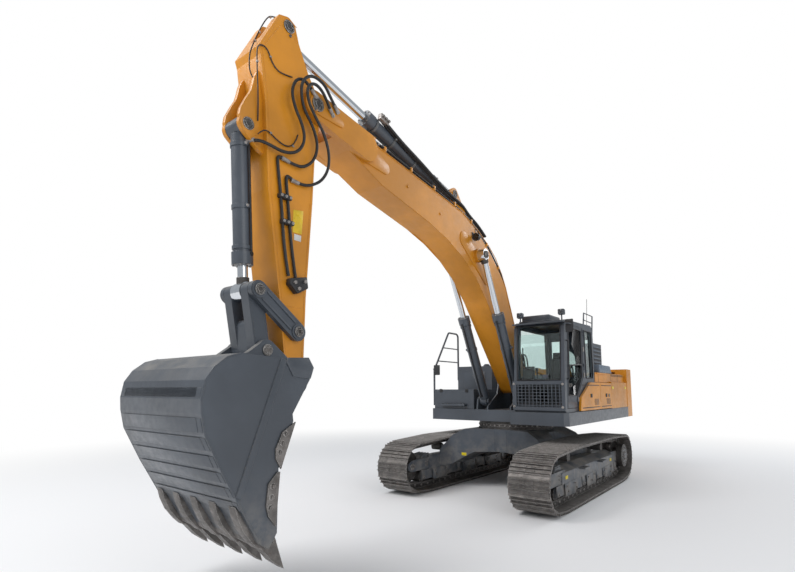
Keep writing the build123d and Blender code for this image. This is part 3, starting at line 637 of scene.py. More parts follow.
class EXCAVATOR_OT_wheel_hardware(bpy.types.Operator):
    """Add the saddles, the hub caps, the bolts and the sprockets' teeth"""
    bl_idname = "excavator.wheel_hardware"
    bl_label = "Wheel hardware"

    def execute(self, context):
        work, saddles = Work("wheel_hardware"), Work("roller_saddles")
        for sign in (-1, 1):
            middle = sign * GAUGE
            for side in (-1, 1):
                face = middle + side * 150
                for i in range(ROLLERS):
                    x = (i - (ROLLERS - 1) / 2) * ROLLER_PITCH
                    saddles.plate([(x - 80, 385), (x - 52, 228), (x - 30, 214), (x + 30, 214), (x + 52, 228),
                                   (x + 80, 385)], face - side * 4, face + side * 12, 3)
                    work.disc((x, ROLLER_Z), face + side * 10, face + side * 20, 42, 20)
                    work.bolt((x, face + side * 20, ROLLER_Z), (0, side, 0), 28)
                for x in (-1100, 0, 1100):
                    saddles.plate([(x - 275, 385), (x - 245, 190), (x - 225, 176), (x + 225, 176),
                                   (x + 245, 190), (x + 275, 385)], face + side * 12, face + side * 22, 3)
                    for dx in (-190, 190):
                        work.bolt((x + dx, face + side * 22, 340), (0, side, 0), 24)
                saddles.plate([(1380, 400), (1900, 392), (2050, 396), (2120, 440), (2140, 490), (2110, 545),
                               (2040, 590), (1900, 600), (1380, 606)], face - side * 2, face + side * 10, 4)
                work.disc(IDLER, face, face + side * 18, 62, 28)
                work.bolts_round(IDLER, face + side * 18, side, 40, 4, 18, pi / 4)
                work.bolts_round((1560, 505), face + side * 10, side, 42, 4, 20, pi / 4)
            hub = middle + sign * 245
            saddles.disc(SPROCKET, hub - sign * 8, hub + sign * 22, 192, 48)
            saddles.disc(SPROCKET, hub + sign * 20, hub + sign * 38, 96, 32)
            work.bolts_round(SPROCKET, hub + sign * 38, sign, 74, 6, 20)
            work.bolts_round(SPROCKET, hub + sign * 22, sign, 160, 12, 24)
            work.bolts_round(SPROCKET, hub, sign, 214, 20, 22)
            work.bolts_round(SPROCKET, middle - sign * 48, -sign, 212, 16, 24)
        work.done("undercarriage", bare_steel("mid"), smooth=False)
        saddles.done("undercarriage", finish_of("slate_low"))
        teeth = Work("sprocket_teeth")
        pins = [pin * 1000 for pin in belt_pins()]
        rear = min(pins, key=lambda pin: pin.x)
        first = atan2(rear.z - SPROCKET[1], rear.x - SPROCKET[0])
        count, half = 10, 36
        flank = ((280, 0.20), (318, 0.13), (336, 0.055),                    # radius and turn of a corner
                 (336, -0.055), (318, -0.13), (280, -0.20))
        for sign in (-1, 1):
            for i in range(count):
                angle = first + (i + 0.5) * 2 * pi / count
                points = [(SPROCKET[0] + r * cos(angle + turn), SPROCKET[1] + r * sin(angle + turn))
                          for r, turn in flank]
                teeth.plate(points, sign * GAUGE - half, sign * GAUGE + half, 4)
        teeth.done("undercarriage", bare_steel("mid"))
        return {"FINISHED"}


class EXCAVATOR_OT_frame_hardware(bpy.types.Operator):
    """Add the frames' welds, steps, yoke covers and reflectors, and the swing bearing's bolts and races"""
    bl_idname = "excavator.frame_hardware"
    bl_label = "Track frame hardware"

    def execute(self, context):
        work, marks = Work("frame_hardware"), Work("undercarriage_reflectors")
        for sign in (-1, 1):
            middle = sign * GAUGE
            outer, inner = middle + sign * 165, middle - sign * 165
            work.weld([(-1550, outer, 560), (1470, outer, 560)], 7)
            work.weld([(-1550, inner, 638), (1470, inner, 638)], 7)
            work.plate([(1370, 530), (1400, 662), (1620, 650), (1680, 585), (1680, 530)],
                       middle - 118, middle + 118, 8)
            for i in range(4):
                y = middle + (i - 1.5) * 66
                work.plate([(1385, 600), (1412, 682), (1612, 668), (1685, 588)], y - 7, y + 7, 2)
            near, far = sorted((outer, outer + sign * 110))
            for x in (-520, 520):
                work.box((x - 130, near, 530), (x + 130, far, 552), 4)
                low, high = sorted((outer + sign * 12, outer + sign * 102))
                work.row((x - 120, low, 548), (x - 104, high, 560), (45, 0, 0), 6, 3)
            near, far = sorted((outer, outer + sign * 5))
            for x in (-1300, 1270):
                marks.box((x - 55, near, 445), (x + 55, far, 500), 2)
        for angle in range(0, 360, 12):
            turned = radians(angle + 5)
            work.bolt((729 * cos(turned), 729 * sin(turned), 1129), Z, 24, washer=False)
        for y in (-560, 560):
            marks.box((1105, y - 50, 640), (1112, y + 50, 695), 2)
        work.done("undercarriage", finish_of("slate_low"), smooth=False)
        marks.done("undercarriage", reflector("yellow"))
        nuts, races = Work("bearing_nuts"), Work("bearing_race")
        for i in range(44):
            turned = 2 * pi * i / 44
            at = Vector((722 * cos(turned), 722 * sin(turned), 1192))
            nuts.rod(at, at + Z * 20, 16, 6)
        for z, tube in ((1180, 9), (1222, 7)):
            races.ring((0, 0, z), Z, 720, tube, 96, 6)
        nuts.done("undercarriage", bare_steel("bright"), smooth=False)
        races.done("undercarriage", bare_steel("dark"))
        return {"FINISHED"}


# ---- boom and arm ----------------------------------------------------------------------
BOOM_TOP = ((-122, 2068), (779, 3834), (940, 4075), (1180, 4330), (1450, 4510), (1850, 4700), (2360, 4868),
            (5030, 5187), (5360, 5225))                     # the boom's back, (x, z)
BOOM_BELLY = ((180, 1870), (1590, 3475), (1960, 3820), (2400, 4085), (2860, 4270), (3345, 4400), (4475, 4610),
              (5128, 4849))
BOOM_TIP, ARM_TOP, BUCKET_BASE, CRANK = (5730, 5123), (6087, 5902), (6527, 4587), (6415, 2870)
ROCKER_PIN, LINK_PIN, ARM_NOSE = (5910, 2493), (6306, 2272), (5894, 1951)
LIFT_BASE, LIFT_EYE, REACH_BASE = (600, 1670), (1915, 4206), (2500, 5160)
WEB, FORK, ARM_FACE, EAR, BUCKET_FACE = 220, 300, 210, 154, 720      # outer faces, off the middle plane


def beside(a, b, along, off):
    """The point a way along from a towards b, and off to the left of that line."""
    way = (Vector(b) - Vector(a)).normalized()
    return Vector(a) + way * along + Vector((-way.y, way.x)) * off


def capsule(a, b, ra, rb, steps=10):
    """Outline of two circles joined by straight sides, (x, z)."""
    heading = atan2(b[1] - a[1], b[0] - a[0])
    points = []
    for (x, z), radius, start in ((a, ra, heading + pi / 2), (b, rb, heading - pi / 2)):
        for i in range(steps + 1):
            angle = start + pi * i / steps
            points.append((x + radius * cos(angle), z + radius * sin(angle)))
    return points


class EXCAVATOR_OT_boom_plates(bpy.types.Operator):
    """Add the boom's doublers, pin bosses, caps, welds and small brackets"""
    bl_idname = "excavator.boom_plates"
    bl_label = "Boom plates"

    def execute(self, context):
        work, caps = Work("boom_plates"), Work("boom_pin_caps")
        for sign in (-1, 1):
            web, fork = sign * WEB, sign * FORK
            tip_end = beside(BOOM_TIP, (4850, 4990), 380, 0)
            work.plate(capsule(tip_end, BOOM_TIP, 52, 112), fork - sign, fork + sign * 12, 3)
            work.plate(capsule((4420, 4880), (4800, 4960), 90, 150), web - sign, web + sign * 10, 3)
            work.plate(capsule((1560, 3890), (2330, 4410), 135, 135), web - sign, web + sign * 10, 3)
            work.plate(capsule((150, 2240), (420, 2760), 110, 60), web - sign, web + sign * 4, 2)
            work.disc(LIFT_EYE, web, web + sign * 71, 118, 40)
            work.weld([(x, web + sign * 2, z - 9) for x, z in BOOM_TOP], 7)
            work.weld([(x, web + sign * 2, z + 9) for x, z in BOOM_BELLY], 7)
            for at in ((1250, 3560), (3050, 4640), (3900, 4800)):
                work.disc(at, web, web + sign * 12, 22, 18)
            caps.cap(BOOM_TIP, fork + sign * 11, sign, 84, 24, 3, 22)
            caps.cap(REACH_BASE, sign * EAR, sign, 64, 20, 3, 18)
            near, far = sorted((fork + sign * 12, fork + sign * 30))       # the bar that locks the tip's pin
            work.box((5745, near, 5020), (5815, far, 5052), 4)
            caps.bolt((5782, fork + sign * 30, 5036), (0, sign, 0), 22)
        work.box((4280, -120, 5100), (4400, 120, 5180), 6)
        work.done("boom", finish_of("amber"))
        caps.done("boom", bare_steel("dark"))
        return {"FINISHED"}


BACK = ((900, 3975), (1290, 4325), (1780, 4650), (2390, 4885), (4700, 5161))      # the line of the boom's back


class EXCAVATOR_OT_boom_lines(bpy.types.Operator):
    """Add the steel lines, the clamps, the valve block and the long hoses on the boom's back"""
    bl_idname = "excavator.boom_lines"
    bl_label = "Boom lines"

    def execute(self, context):
        clamps, ends = Work("boom_line_clamps"), Work("boom_line_fittings")
        for sign in (-1, 1):
            route = [(0.82, 3.90)] + [(x / 1000 - 0.013, z / 1000 + 0.032) for x, z in BACK]
            for i, y in enumerate((178, 212)):
                pipe_on("boom", f"boom_line_{'left' if sign > 0 else 'right'}_{i}",
                        [(x, sign * y / 1000, z) for x, z in route], 0.014, 12, 10)
            for (xa, za), (xb, zb) in zip(BACK, BACK[1:]):
                for share in (0.5,) if xb < 2500 else (0.10, 0.36, 0.62, 0.88):
                    way = Vector((xb - xa, zb - za)).normalized()
                    x, z = xa + (xb - xa) * share, za + (zb - za) * share
                    foot = Vector((x + way.y * 14, z - way.x * 14))
                    head = Vector((x - way.y * 54, z + way.x * 54))
                    half = way * 20
                    clamps.plate([tuple(p) for p in (foot - half, foot + half, head + half, head - half)],
                                 sign * 195 - 40, sign * 195 + 40, 4)
                    ends.bolt((head.x, sign * 195, head.y), (-way.y, 0, way.x), 20)
            clamps.plate([(4590, 5172), (4760, 5192), (4760, 5258), (4600, 5238)],
                         sign * 180 - 34, sign * 180 + 34, 6)
            for x in (4540, 4600):
                rise = (x - 4600) * 0.12                                    # the back's slope
                for y in (178, 212):
                    ends.rod((x, sign * y, 5176 + rise), (x + 36, sign * y, 5181 + rise), 21, 6)
        # the two hoses that run beside the arm cylinder to its head, and the block they end in
        for i, y in enumerate((0.128, 0.166)):
            pipe_on("boom", f"reach_hose_{i}", [
                (1.52, y + 0.03, 4.66), (1.74, y + 0.02, 4.80), (2.02, y - 0.02, 4.93), (2.30, y + 0.02, 5.02),
                (2.62, y + 0.035, 5.03 + 0.02 * i), (3.05, y + 0.02, 5.16), (3.5, y, 5.33),
                (3.95, y - 0.012, 5.46), (4.20, y - 0.02, 5.56), (4.33, y - 0.03, 5.62)], 0.022, 16, 12)
        clamps.done("boom", finish_of("amber"))
        ends.done("boom", bare_steel("bright"), smooth=False)
        block, ports = Work("lock_valve"), Work("lock_valve_ports")
        centre = Vector((4340, 130, 5640))
        turn = Matrix.Rotation(-atan2(ARM_TOP[1] - REACH_BASE[1], ARM_TOP[0] - REACH_BASE[0]), 3, "Y")
        block.box(centre - Vector((90, 34, 46)), centre + Vector((90, 34, 46)), 8, turn)
        for dx in (-60, 0, 60):
            ports.rod(centre + Vector((dx, 30, dx * 0.2)), centre + Vector((dx, 62, dx * 0.2)), 20, 6)
        block.done("arm_cylinder_barrel", bare_steel("bright"))
        ports.done("arm_cylinder_barrel", bare_steel("mid"), smooth=False)
        return {"FINISHED"}


class EXCAVATOR_OT_boom_lamp(bpy.types.Operator):
    """Add the round work lamp on the boom's side and its cable"""
    bl_idname = "excavator.boom_lamp"
    bl_label = "Boom lamp"

    def execute(self, context):
        shell, lens = Work("boom_lamp_shell"), Work("boom_lamp_lens")
        shell.rod((2000, 300, 4512), (2066, 300, 4500), 62, 32, 66)
        shell.box((2010, 222, 4540), (2040, 300, 4556), 3)
        shell.plate([(2005, 4540), (2060, 4540), (2060, 4605), (2005, 4605)], 219, 229, 3)
        shell.ring((2068, 300, 4500), (1, 0, -0.18), 62, 7, 32, 8)
        lens.rod((2064, 300, 4500.4), (2073, 300, 4499), 57, 32, 50)
        for i in range(5):
            shell.rod((1990 - i * 4, 300, 4514), (1992 - i * 4, 300, 4514), 50 - 7 * i, 24)
        shell.done("boom", moulded("black"))
        lens.done("boom", glass("lamp"))
        pipe_on("boom", "boom_lamp_cable", [(1.985, 0.30, 4.515), (1.94, 0.29, 4.50), (1.92, 0.25, 4.56),
                                            (1.95, 0.228, 4.64), (1.93, 0.224, 4.70)], 0.005, 8, 10, "grey")
        return {"FINISHED"}


FORK_ROOM = 560         # the arm's borders stay this far from the boom's tip, where its fork passes


class EXCAVATOR_OT_arm_plates(bpy.types.Operator):
    """Add the arm's side borders, pin caps, ears, welds and blank plates"""
    bl_idname = "excavator.arm_plates"
    bl_label = "Arm plates"

    def execute(self, context):
        work, caps = Work("arm_plates"), Work("arm_pin_caps")
        seam = [(5975, 5770), (6050, 5865), (6205, 5850), (6428, 5450), (6410, 5380), (6332, 4900),
                (6262, 3966), (6167, 3360), (6078, 2760), (5800, 2760), (5733, 3970)]
        border = [(5782, 2120), (5765, 2887), (5696, 3970), (5674, 4533), (5620, 4900), (5610, 5250),
                  (5786, 5486), (5945, 5791), (6000, 5960), (6110, 6008), (6225, 5966), (6475, 5457),
                  (6447, 5380), (6370, 4900), (6300, 3966), (6205, 3360), (6111, 2757), (6030, 2120)]
        for sign in (-1, 1):
            face = sign * ARM_FACE
            work.weld([(x, face - sign * 2, z) for x, z in seam], 5)
            for a, b in zip(border, border[1:] + border[:1]):
                a, b = Vector(a), Vector(b)
                middle = (a + b) / 2
                if (middle - Vector(BOOM_TIP)).length < FORK_ROOM:
                    continue
                step = (Vector((6000, middle.y)) - middle).normalized() * 26
                work.plate((a, b, b + step, a + step), face - sign * 2, face + sign * 3, 1)
            caps.cap(ARM_TOP, face - sign, sign, 72, 22, 3, 20)
            caps.bolt((6068, face + sign * 8, 5803), (0, sign, 0), 20)
            caps.cap(BUCKET_BASE, sign * EAR, sign, 66, 20, 3, 18)
            work.disc(ROCKER_PIN, face - sign, face + sign * 0.2, 108, 40)
        ear = [(6330, 5280), (6380, 5262), (6447, 5200), (6475, 5120), (6490, 5040), (6510, 4960), (6560, 4860),
               (6622, 4720), (6632, 4650), (6612, 4560), (6560, 4490), (6470, 4480), (6400, 4520), (6290, 4660)]
        work.plate(ear, 104, 158, 6)
        work.plate(ear, -158, -104, 6)
        work.done("arm", finish_of("amber"))
        caps.done("arm", bare_steel("dark"))
        yellow, white = Work("arm_plate_yellow"), Work("arm_plate_white")
        yellow.plate(((5965, 3832), (5825, 3855), (5842, 3585), (5970, 3580)), 209, 213, 1)
        white.plate(((5947, 3567), (5848, 3567), (5852, 3498), (5947, 3498)), 209, 213, 1)
        yellow.done("arm", reflector("plate_yellow"))
        white.done("arm", reflector("white"))
        return {"FINISHED"}


class EXCAVATOR_OT_arm_lines(bpy.types.Operator):
    """Add the arm's steel pipes, their clamps and valve block, and the thin grease lines"""
    bl_idname = "excavator.arm_lines"
    bl_label = "Arm lines"

    def execute(self, context):
        pipes = (((6130, 4338), (6205, 4352), (6214, 4290), (6152, 3900), (6096, 3345), (6030, 3080)),
                 ((5995, 4140), (6078, 4184), (6094, 4120), (6067, 3930), (5998, 3368), (5935, 3080)))
        for i, route in enumerate(pipes):
            pipe_on("arm", f"arm_pipe_{i}", [(x / 1000, 0.236, z / 1000) for x, z in route], 0.017, 16, 12)
        clamps, bolts = Work("arm_line_clamps"), Work("arm_line_bolts")
        for x, z in ((6110, 3920), (6072, 3650)):
            clamps.box((x - 78, 212, z - 24), (x + 78, 274, z + 24), 8)
            for dx in (-58, 0, 58):
                bolts.bolt((x + dx, 274, z), Y, 18)
        clamps.plate([(5816, 3100), (6040, 3050), (6046, 2985), (5940, 2895), (5795, 2975)], 210, 292, 12)
        for at in ((5850, 3040), (5990, 3010), (5935, 2950)):
            bolts.disc(at, 290, 312, 21, 6)
        clamps.done("arm", moulded("black"))
        bolts.done("arm", bare_steel("bright"), smooth=False)
        thin = (
            ("grease_front", (
                (6.105, .118, 6.0), (6.16, .118, 6.004), (6.222, .118, 5.985), (6.318, .118, 5.93),
                (6.50, .118, 5.46), (6.52, .118, 5.30), (6.50, .118, 5.16), (6.43, .118, 5.10))),
            ("grease_side", (
                (6.033, .222, 5.329), (6.14, .224, 5.30), (6.24, .224, 5.296), (6.313, .224, 5.357),
                (6.371, .224, 5.474), (6.454, .226, 5.471), (6.503, .226, 5.414), (6.49, .222, 5.202),
                (6.44, .19, 4.90), (6.424, .17, 4.66))),
            ("grease_low", (
                (5.934, .222, 4.699), (5.978, .224, 4.566), (6.09, .226, 4.491), (6.223, .226, 4.518),
                (6.331, .226, 4.571), (6.40, .226, 4.55), (6.44, .20, 4.50))),
        )
        for name, route in thin:
            pipe_on("arm", name, route, 0.007, 8, 10)
        clips = Work("grease_clips")
        for x, y, z in ((6270, 118, 5950), (6400, 118, 5690), (6450, 118, 5560), (6330, 224, 5400),
                        (6490, 222, 5260), (6000, 224, 4540), (6300, 226, 4560)):
            clips.box((x - 12, y - 10, z - 10), (x + 12, y + 10, z + 10), 3)
        clips.done("arm", bare_steel("bright"))
        return {"FINISHED"}


TIP_HOSES = (           # name and points (x, y, z) in metres, from the boom's tip to the arm
    ("tip_hose_1", (
        (5.440, 0.320, 5.190), (5.560, 0.335, 5.290), (5.660, 0.350, 5.375), (5.770, 0.350, 5.400),
        (5.880, 0.350, 5.378), (5.975, 0.345, 5.290), (5.998, 0.330, 5.160), (5.930, 0.300, 4.985),
        (5.780, 0.300, 4.830), (5.700, 0.295, 4.640), (5.745, 0.285, 4.450), (5.880, 0.265, 4.325),
        (6.010, 0.245, 4.320), (6.129, 0.236, 4.338))),
    ("tip_hose_2", (
        (5.520, 0.322, 5.110), (5.640, 0.365, 5.190), (5.745, 0.385, 5.265), (5.860, 0.390, 5.285),
        (5.950, 0.385, 5.200), (5.940, 0.380, 5.060), (5.850, 0.385, 4.920), (5.700, 0.385, 4.770),
        (5.590, 0.360, 4.600), (5.550, 0.320, 4.420), (5.620, 0.285, 4.260), (5.760, 0.262, 4.160),
        (5.880, 0.245, 4.130), (5.994, 0.236, 4.140))),
    ("tip_hose_3", (
        (5.790, 0.326, 5.205), (5.880, 0.312, 5.300), (5.980, 0.302, 5.315), (6.060, 0.296, 5.235),
        (6.098, 0.300, 5.090), (6.050, 0.305, 4.930), (5.955, 0.312, 4.790), (5.905, 0.310, 4.640),
        (5.950, 0.300, 4.500), (6.060, 0.290, 4.410), (6.200, 0.275, 4.385), (6.360, 0.260, 4.410),
        (6.455, 0.190, 4.437), (6.482, 0.104, 4.437))),
)


class EXCAVATOR_OT_tip_hoses(bpy.types.Operator):
    """Hang the three hoses from the boom's tip to the arm, with their ferrules and fittings"""
    bl_idname = "excavator.tip_hoses"
    bl_label = "Tip hoses"

    def execute(self, context):
        starts, stops = Work("tip_hose_unions"), Work("tip_hose_ends")
        for name, route in TIP_HOSES:
            hang(name, route, 0.017, 14, 16)
            way = (Vector(route[0]) - Vector(route[1])).normalized()
            at = Vector(route[0]) * 1000
            starts.rod(at - way * 60, at + way * 10, 22, 20)
            starts.rod(at + way * 10, at + way * 45, 26, 6)
            way = (Vector(route[-1]) - Vector(route[-2])).normalized()
            at = Vector(route[-1]) * 1000
            stops.rod(at - way * 70, at, 22, 20)
            stops.rod(at, at + way * 30, 25, 6)
        starts.done("boom", bare_steel("bright"))
        stops.done("arm", bare_steel("bright"))
        return {"FINISHED"}


class EXCAVATOR_OT_cylinder_trim(bpy.types.Operator):
    """Add the cylinders' heads, glands, bands, side tubes, rod collars and pin caps"""
    bl_idname = "excavator.cylinder_trim"
    bl_label = "Cylinder trim"

    def trim(self, name, base, eye, ys, radius, rod, length, bands, tube, finish):
        """Dresses like cylinders at ys, seen from the side from base to eye, with a barrel of some length."""
        work, bright = Work(f"{name}_bands"), Work(f"{name}_head_bolts")
        pipe, collar = Work(f"{name}_tube"), Work(f"{name}_rod_collar")

        def at(along, off, y):
            p = beside(base, eye, along, off)
            return Vector((p.x, y, p.y))
        full = (Vector(eye) - Vector(base)).length
        way = (at(10, 0, 0) - at(0, 0, 0)).normalized()
        for y in ys:
            work.rod(at(length - 195, 0, y), at(length - 158, 0, y), radius + 12, 40)
            work.rod(at(length - 5, 0, y), at(length + 1, 0, y), rod + 26, 36)
            for place in bands:
                work.rod(at(place, 0, y), at(place + 42, 0, y), radius + 8, 40)
                for side in (-1, 1) if not y else (1 if y > 0 else -1,):      # a pair's ears face out only
                    ear = at(place + 21, 0, y) + Y * side * (radius + 18)
                    work.box(ear - Vector((20, 14, 20)), ear + Vector((20, 14, 20)), 4)
                    bright.bolt(at(place + 21, 8, y) + Y * side * (radius + 32), (0, side, 0), 18)
            for i in range(8):
                angle = 2 * pi * i / 8
                off, over = (radius + 2) * cos(angle), (radius + 2) * sin(angle)
                bright.bolt(at(length, off, y) + Y * over, way, 18, washer=False)
            off, over = tube
            pipe.line([at(150, off * 0.8, y + over * 0.8), at(190, off, y + over),
                       at(length - 130, off, y + over), at(length - 100, off * 0.8, y + over * 0.8)], 13, 12)
            for place in (150, length - 110):
                pipe.rod(at(place, off * 1.1, y + over * 1.1), at(place, off * 0.6, y + over * 0.6), 22, 16)
            collar.rod(at(full - 150, 0, y), at(full - 82, 0, y), rod + 12, 36)
        barrel = f"{name}_barrels" if len(ys) > 1 else f"{name}_barrel"
        work.done(barrel, finish)
        bright.done(barrel, bare_steel("bright"), smooth=False)
        pipe.done(barrel, moulded("hose"))
        collar.done(barrel.replace("barrel", "rod"), bare_steel("dark"))

    def execute(self, context):
        slate, dark = finish_of("slate"), moulded("grey")
        pair, single = (-352, 352), (0,)
        self.trim("boom_cylinder", LIFT_BASE, LIFT_EYE, pair, 92, 52, 1760, (520, 1080), (-112, 0), slate)
        self.trim("arm_cylinder", REACH_BASE, ARM_TOP, single, 98, 58, 2150, (480, 1020, 1560), (-114, 0), dark)
        self.trim("bucket_cylinder", BUCKET_BASE, CRANK, single, 90, 52, 1440, (170, 820), (-42, 99), slate)
        caps = Work("lift_pin_caps")
        for sign in (-1, 1):
            caps.cap(LIFT_EYE, sign * 412, sign, 66, 22, 2, 20)
        caps.done("boom_cylinder_rods", bare_steel("dark"))
        return {"FINISHED"}


# ---- bucket and linkage --------------------------------------------------------------
class EXCAVATOR_OT_bucket_fittings(bpy.types.Operator):
    """Add the bucket's wear strips, side cutters, doublers, tooth adapters, welds, bolts and pin caps"""
    bl_idname = "excavator.bucket_fittings"
    bl_label = "Bucket fittings"

    def execute(self, context):
        work, steel = Work("bucket_fittings"), Work("bucket_adapters")
        front = ((1958, 7216), (1809, 7243), (1695, 7235), (1523, 7196), (1210, 7031), (588, 6660))     # (z, x)
        foremost, strips = 7242.6, ((1900, 1824), (1659, 1544), (1503, 1398), (1354, 1256), (1218, 1127),
                                    (1086, 1000), (960, 880))

        def skin(z):
            for (za, xa), (zb, xb) in zip(front, front[1:]):
                if zb <= z <= za:
                    return xa + (xb - xa) * (za - z) / (za - zb)
            return front[0][1]
        for top, low in strips:
            half = (top + low) / 2
            for y, lift in ((704, 4), (640, 9)):
                lift = min(lift, max(1.0, foremost - max(skin(top), skin(low), skin(half))))
                work.plate([(skin(top) - 14, top), (skin(top) + lift, top), (skin(half) + lift, half),
                            (skin(low) + lift, low), (skin(low) - 14, low)], -y, y, 2)
        for sign in (-1, 1):
            face, back = sign * BUCKET_FACE, sign * (BUCKET_FACE - 2)
            work.plate([(6416, 2150), (6480, 2168), (6905, 1010), (6855, 980)], back, face + sign * 10, 2)
            work.weld([(6416, face, 2148), (6855, face, 980)], 6)
            work.weld([(6480, face, 2166), (6905, face, 1012)], 6)
            work.weld([(x, face, z) for x, z in (
                (6900, 2186), (7026, 2149), (7140, 2062), (7210, 1956), (7236, 1809), (7228, 1695),
                (7190, 1523), (7026, 1210), (6664, 600))], 7)
            for cutter in (((6305, 1589), (6462, 1180), (6521, 1277), (6524, 1361), (6455, 1504)),
                           ((6469, 1162), (6504, 700), (6584, 796), (6610, 888), (6593, 1071), (6502, 1159))):
                steel.plate(cutter, back, face + sign * 18, 4)
            for x, z in ((6421, 1490), (6452, 1407), (6482, 1332), (6550, 1048), (6558, 956), (6571, 871)):
                steel.bolt((x, face + sign * 18, z), (0, sign, 0), 30)
            work.plate([(6430, 2140), (6400, 2174), (6158, 2187), (6092, 2092), (6130, 1985), (6340, 2000)],
                       back, face + sign * 10, 3)
            for y in (210, 270):
                work.disc(ARM_NOSE, sign * y, sign * (y + 12), 104, 36)
            for at in (ARM_NOSE, LINK_PIN):
                steel.cap(at, sign * 280, sign, 58, 22, 3, 18)
        a, b = Vector((7031, 1210)), Vector((6660, 588))
        way = (b - a).normalized()
        out = Vector((-way.y, way.x))
        pitch = 310                                                         # from tooth to tooth
        saddle = ((330, 12), (430, 40), (560, 50), (700, 30), (790, 6), (806, -26), (806, -130), (740, -140),
                  (560, -84), (520, -36), (400, 0))
        for i in range(5):
            y = (i - 2) * pitch
            steel.plate([tuple(a + way * along + out * off) for along, off in saddle], y - 54, y + 54, 8)
            steel.box((6500, y - 66, 560), (6560, y + 66, 600), 8)
            steel.disc((6470, 560), y - 60, y + 60, 17)
        for i in range(4):
            y = (i - 1.5) * pitch
            steel.plate([(6690, 640), (6655, 575), (6560, 510), (6520, 545), (6600, 610)], y - 92, y + 92, 6)
        work.done("bucket", finish_of("slate_low"))
        steel.done("bucket", bare_steel("mid"))
        return {"FINISHED"}


class EXCAVATOR_OT_linkage_fittings(bpy.types.Operator):
    """Add the bosses, pin caps, stiffeners and stop rings of the rockers and the link"""
    bl_idname = "excavator.linkage_fittings"
    bl_label = "Linkage fittings"

    def execute(self, context):
        rockers, caps = Work("rocker_bosses"), Work("rocker_caps")
        link, rings = Work("link_bosses"), Work("link_rings")
        for sign in (-1, 1):
            for at in (CRANK, ROCKER_PIN):
                rockers.disc(at, sign * 268, sign * 282, 86, 36)
                caps.cap(at, sign * 281, sign, 58, 20, 3, 18)
            for off in (-48, 48):
                rockers.plate([tuple(beside(CRANK, ROCKER_PIN, along, off + k)) for along, k in
                               ((80, -9), (80, 9), (540, 9), (540, -9))], sign * 268, sign * 282, 2)
            for at in (CRANK, LINK_PIN):
                link.disc(at, sign * 200, sign * 209, 82, 32)
                rings.ring((at[0], sign * 207, at[1]), (0, sign, 0), 84, 6, 32, 6)
            for off in (-70, 70):
                start, end = (beside(CRANK, LINK_PIN, along, off) for along in (110, 480))
                link.weld([(start.x, sign * 204, start.y), (end.x, sign * 204, end.y)], 5)
        rockers.done("rockers", finish_of("slate_low"))
        caps.done("rockers", bare_steel("dark"))
        link.done("link", finish_of("slate_low"))
        rings.done("link", bare_steel("bright"))
        return {"FINISHED"}


# ---- cab -----------------------------------------------------------------------------
def inside(centre, outline):
    """Whether a face's middle lies within an outline of (x, z) in millimetres."""
    x, z, hit = centre.x * 1000, centre.z * 1000, False
    for (xa, za), (xb, zb) in zip(outline, outline[1:] + outline[:1]):
        if (za > z) != (zb > z) and x < xa + (xb - xa) * (z - za) / (zb - za):
            hit = not hit
    return hit


